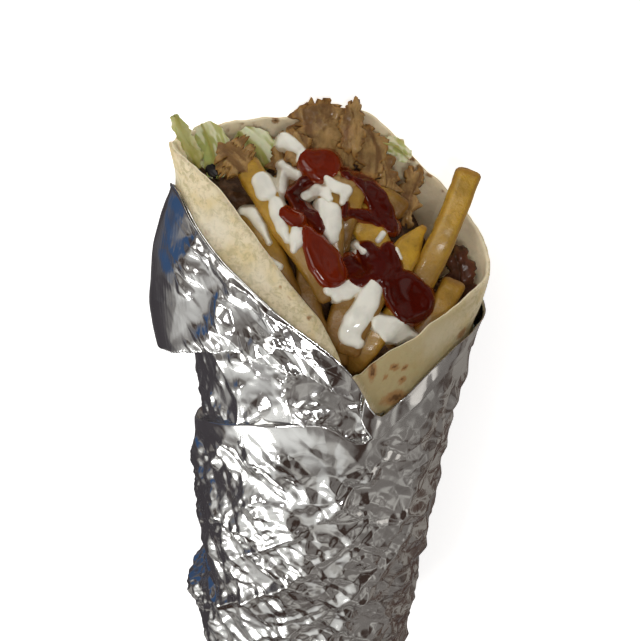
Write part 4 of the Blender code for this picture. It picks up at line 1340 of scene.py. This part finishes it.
class WrapColours(bpy.types.PropertyGroup):
    """Colours of the wrap that a user would change."""

    foil_colour: colour_setting("Foil", "Aluminium foil", (0.90, 0.90, 0.89))
    bread_colour: colour_setting("Bread", "Untoasted flatbread", (0.80, 0.69, 0.47))
    toast_colour: colour_setting("Toasted bread", "Toasted spots", (0.34, 0.15, 0.045))
    chip_colour: colour_setting("Chips", "Faces of the chips", (0.58, 0.33, 0.022))
    chip_edge_colour: colour_setting("Chip edges", "Fried edges and ends of the chips", (0.33, 0.14, 0.016))
    meat_colour: colour_setting("Meat", "Cut faces of the meat", (0.46, 0.28, 0.10))
    meat_crisp_colour: colour_setting("Crisp meat", "Browned edges of the meat", (0.13, 0.052, 0.014))
    lettuce_colour: colour_setting("Lettuce", "Leaf of the lettuce", (0.50, 0.54, 0.17))
    white_colour: colour_setting("White sauce", "Garlic sauce", (0.90, 0.88, 0.78))
    red_colour: colour_setting("Red sauce", "Chilli sauce", (0.070, 0.004, 0.001))
    red_drop_colour: colour_setting("Red drops", "Chilli sauce in its thick drops", (0.16, 0.012, 0.001))
    red_thin_colour: colour_setting(
        "Thin red sauce", "Chilli sauce where its layer is thin", (0.28, 0.040, 0.003)
    )


class KEBAB_OT_foil(bpy.types.Operator):
    """Makes the foil: its lower sleeve, upper layer, loose collar and folded band"""

    bl_idname = "kebab.foil"
    bl_label = "Foil"

    def execute(self, context):
        sizes, colours = context.scene.kebab_sizes, context.scene.kebab_colours
        crumpled = finish_foil("foil_crumpled", colours.foil_colour, (14.0, 7.0, 0.5))
        smooth = finish_foil("foil_smooth", colours.foil_colour, (22.0, 9.0, 0.6))
        make_piece("foil_lower", build_foil_lower(sizes), crumpled, "foil", "foil")
        make_piece("foil_upper", build_foil_upper(sizes), crumpled, "foil", "foil")
        make_piece("foil_collar", build_foil_collar(sizes), smooth, "foil", "foil")
        make_piece("foil_band", build_foil_band(sizes), smooth, "foil", "foil")
        return {"FINISHED"}


class KEBAB_OT_bread(bpy.types.Operator):
    """Makes the rolled flatbread with its toasted spots"""

    bl_idname = "kebab.bread"
    bl_label = "Flatbread"

    def execute(self, context):
        finish = finish_bread(context.scene.kebab_colours)
        make_piece("bread", build_bread(context.scene.kebab_sizes), finish, "flatbread", "flatbread")
        return {"FINISHED"}


class KEBAB_OT_core(bpy.types.Operator):
    """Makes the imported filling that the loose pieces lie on"""

    bl_idname = "kebab.core"
    bl_label = "Packed filling"

    def execute(self, context):
        body, _ = build_core()
        make_piece("core", body, finish_core(context.scene.kebab_colours), "filling", "filling")
        return {"FINISHED"}


class KEBAB_OT_chips(bpy.types.Operator):
    """Makes the chips in the filling and the two that stand clear of it"""

    bl_idname = "kebab.chips"
    bl_label = "Chips"

    def execute(self, context):
        finish = finish_chip(context.scene.kebab_colours)
        packed, clear = chip_shapes()
        make_piece("chips", [body for body, _ in packed], finish, "chip", "filling")
        for name, (body, _) in clear.items():
            make_piece(name + "_look", body, finish, "chip", name)
        return {"FINISHED"}


class KEBAB_OT_meat(bpy.types.Operator):
    """Makes the sliced meat in the filling and the four slices that stand clear of it"""

    bl_idname = "kebab.meat"
    bl_label = "Meat"

    def execute(self, context):
        colours = context.scene.kebab_colours
        crisp = tint(colours.meat_crisp_colour)
        meat = finish_meat("meat", tint(colours.meat_colour), crisp, 0.0)
        charred = finish_meat("meat_charred", MEAT_CHARRED, darker(crisp, 0.4), 0.30)
        packed, clear = meat_shapes()
        make_piece("meat_slices", [body for body, _ in packed], meat, "meat", "filling")
        for name, (body, _) in clear.items():
            make_piece(name + "_look", body, charred if name == "meat_charred" else meat, "meat", name)
        return {"FINISHED"}


class KEBAB_OT_lettuce(bpy.types.Operator):
    """Makes the lettuce in the filling and the three leaves that stand clear of it"""

    bl_idname = "kebab.lettuce"
    bl_label = "Lettuce"

    def execute(self, context):
        finish = finish_lettuce(context.scene.kebab_colours)
        packed, clear = lettuce_shapes()
        make_piece("lettuce_bits", [body for body, _ in packed], finish, "lettuce", "filling")
        for name, (body, _) in clear.items():
            make_piece(name + "_look", body, finish, "lettuce", name)
        return {"FINISHED"}


class KEBAB_OT_olive(bpy.types.Operator):
    """Makes the sliver of black olive"""

    bl_idname = "kebab.olive"
    bl_label = "Olive"

    def execute(self, context):
        body, _ = olive_shape()
        make_piece("olive_sliver", body, finish_olive(), "filling", "filling")
        return {"FINISHED"}


class KEBAB_OT_sauces(bpy.types.Operator):
    """Makes the white and red sauces, each as a layer on what lies under it"""

    bl_idname = "kebab.sauces"
    bl_label = "Sauces"

    def execute(self, context):
        sizes, colours = context.scene.kebab_sizes, context.scene.kebab_colours
        thin_red = tint(colours.red_thin_colour)
        white = finish_sauce("white_sauce", tint(colours.white_colour), WHITE_SAUCE_THIN, 0.20, 0.65)
        red = finish_sauce("red_sauce", tint(colours.red_colour), thin_red, 0.12, 0.7)
        drops = finish_sauce("red_drops", tint(colours.red_drop_colour), thin_red, 0.10, 0.8)
        white_mm, red_mm = sizes.white_thickness / MM, sizes.red_thickness / MM
        # Name, runs, finish, thickness and shoulder in mm, how many steps it smooths over, unevenness in mm
        layers = (
            ("white_sauce_under", WHITE_UNDER, white, white_mm, 2.2, 5, 0.25),
            ("red_sauce", RED_RUNS, red, red_mm, 3.0, 7, 0.30),
            ("red_drops", RED_DROPS, drops, red_mm * 1.2, 3.4, 8, 0.15),
            ("white_sauce_over", WHITE_OVER, white, white_mm * 0.7, 1.3, 3, 0.35),
        )
        ground = ground_under_sauce()
        for name, runs, finish, thick, shoulder, drape, wobble in layers:
            layer, ground = build_sauce(runs, ground, thick, shoulder, drape, wobble)
            make_piece(name, layer, finish, "filling", "filling")
        return {"FINISHED"}


def area_light(name, place, aim, size, power, colour):
    """A flat lamp of that size in metres, turned towards a point."""
    lamp = bpy.data.lights.new(name, "AREA")
    lamp.shape, lamp.size, lamp.size_y = "RECTANGLE", size[0], size[1]
    lamp.energy, lamp.color = power, colour
    item = bpy.data.objects.new(name, lamp)
    forward = np.array(aim, float) - np.array(place, float)
    forward /= np.linalg.norm(forward)
    side = np.cross(forward, (0.0, 0.0, 1.0) if abs(forward[2]) < 0.95 else (0.0, 1.0, 0.0))
    side /= np.linalg.norm(side)
    turned = np.eye(4)
    turned[:3, 0], turned[:3, 1], turned[:3, 2] = side, np.cross(side, forward), -forward
    turned[:3, 3] = place
    item.matrix_world = Matrix(turned.tolist())
    bpy.context.scene.collection.objects.link(item)


class KEBAB_OT_stage(bpy.types.Operator):
    """Sets the room that the foil mirrors, the pale floor, the lamps and the camera"""

    bl_idname = "kebab.stage"
    bl_label = "Stage"

    def execute(self, context):
        scene = context.scene
        scene.view_settings.view_transform = "Standard"
        scene.view_settings.look = "None"
        scene.world = self.room()
        self.floor()
        for name, place, size, power, colour in LAMPS:
            area_light(name, place, LAMPS_FACE, size, power, colour)
        self.camera(scene)
        return {"FINISHED"}

    def room(self):
        """A dim warm room with patches of brown and grey, a soft window in front, and blue low on the left."""
        world = bpy.data.worlds.new("studio")
        world.use_nodes = True
        nodes = Nodes(world.node_tree)
        way = nodes.node("ShaderNodeTexCoord", {}, {}, output="Generated")[0]
        x, y, z = nodes.node("ShaderNodeSeparateXYZ", {}, {0: way})
        values = {"Vector": way, "Scale": 2.3, "Detail": 1.5}
        tone = nodes.node("ShaderNodeTexNoise", {}, values, output="Fac")[0]
        walls = nodes.mix(tone.above(0.44, 0.50), ROOM_DARK, ROOM_MIDDLE)
        walls = nodes.mix(tone.above(0.56, 0.62), walls, ROOM_LIGHT)
        ahead = x * -0.52 + y * -0.60 + z * 0.61
        walls = nodes.mix(ahead.above(0.78, 0.95) * (tone * 0.6 + 0.45), walls, ROOM_WINDOW)
        over_diner = y * 0.59 + z * 0.81
        walls = nodes.mix(over_diner.above(0.86, 0.97) * 0.85, walls, ROOM_OVER_DINER)
        far_left = (x * -1).above(0.62, 0.85)
        under = (z * -1 + far_left * 0.30).above(0.02, 0.30)
        values = {"Vector": way, "Scale": 6.0, "Detail": 1.0}
        small = nodes.node("ShaderNodeTexNoise", {}, values, output="Fac")[0]
        patches = nodes.mix(small.above(0.46, 0.52), ROOM_LOW_DARK, ROOM_LOW_LIGHT)
        walls = nodes.mix(under * 0.8, walls, nodes.mix(x.above(0.0, 0.5), ROOM_LOW_LEFT, patches))
        blue = y.above(-0.34, -0.18) * (y * -1).above(-0.40, -0.15) * z.above(-0.66, -0.46)
        blue = blue * (x * -1).above(0.35, 0.60) * (z * -1).above(-0.35, -0.05)
        walls = nodes.mix(blue, walls, ROOM_BLUE)
        nodes.join(world.node_tree.nodes["Background"].inputs["Color"], walls)
        return world

    def floor(self):
        """A plain pale square 12 m wide that glows a little, and that the foil doesn't mirror."""
        mesh = bpy.data.meshes.new("floor")
        mesh.from_pydata([(-6, -6, 0), (6, -6, 0), (6, 6, 0), (-6, 6, 0)], [], [(0, 1, 2, 3)])
        paint = Paint("floor")
        paint.set(Base_Color=FLOOR_GREY, Roughness=0.9)
        paint.set(Emission_Color=(1.0, 1.0, 1.0), Emission_Strength=0.68)
        mesh.materials.append(paint.material)
        floor = bpy.data.objects.new("floor", mesh)
        floor.visible_glossy = False
        bpy.context.scene.collection.objects.link(floor)

    def camera(self, scene):
        """Looks straight at the filling's slope, with the picture turned by the camera's roll."""
        right = np.cos(CAMERA_ROLL) * SLOPE_ACROSS - np.sin(CAMERA_ROLL) * SLOPE_UP
        up = np.sin(CAMERA_ROLL) * SLOPE_ACROSS + np.cos(CAMERA_ROLL) * SLOPE_UP
        place = SLOPE_ORIGIN + CAMERA_RIGHT * right + CAMERA_UP * up + CAMERA_DISTANCE * SLOPE_OUT
        turned = np.eye(4)
        turned[:3, 0], turned[:3, 1], turned[:3, 2] = right, up, SLOPE_OUT
        turned[:3, 3] = (place + PLACE) * MM
        data = bpy.data.cameras.new("camera")
        data.lens, data.sensor_width = CAMERA_LENS, CAMERA_SENSOR
        data.clip_start, data.clip_end = 0.01, 20
        camera = bpy.data.objects.new("camera", data)
        camera.matrix_world = Matrix(turned.tolist())
        scene.collection.objects.link(camera)
        scene.camera = camera


class KEBAB_PT_panel(bpy.types.Panel):
    """Lists the wrap's settings and the steps that build it"""

    bl_idname = "KEBAB_PT_panel"
    bl_label = "Kebab wrap"
    bl_space_type = "VIEW_3D"
    bl_region_type = "UI"
    bl_category = "Kebab wrap"

    def draw(self, context):
        for group in (context.scene.kebab_sizes, context.scene.kebab_colours):
            for name in group.__annotations__:
                self.layout.prop(group, name)
        for step in STEPS:
            self.layout.operator(step.bl_idname)


STEPS = (
    KEBAB_OT_foil, KEBAB_OT_bread, KEBAB_OT_core, KEBAB_OT_chips, KEBAB_OT_meat, KEBAB_OT_lettuce,
    KEBAB_OT_olive, KEBAB_OT_sauces, KEBAB_OT_stage,
)
CLASSES = (WrapSizes, WrapColours, *STEPS, KEBAB_PT_panel)


def register():
    """Adds the classes and the scene's two groups of settings."""
    for item in CLASSES:
        bpy.utils.register_class(item)
    bpy.types.Scene.kebab_sizes = bpy.props.PointerProperty(type=WrapSizes)
    bpy.types.Scene.kebab_colours = bpy.props.PointerProperty(type=WrapColours)


def unregister():
    """Takes them away again."""
    del bpy.types.Scene.kebab_sizes, bpy.types.Scene.kebab_colours
    for item in reversed(CLASSES):
        bpy.utils.unregister_class(item)


def main():
    """Registers the classes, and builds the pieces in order."""
    register()
    bpy.ops.kebab.foil()
    bpy.ops.kebab.bread()
    bpy.ops.kebab.core()
    bpy.ops.kebab.chips()
    bpy.ops.kebab.meat()
    bpy.ops.kebab.lettuce()
    bpy.ops.kebab.olive()
    bpy.ops.kebab.sauces()
    bpy.ops.kebab.stage()


if __name__ == "__main__":
    main()
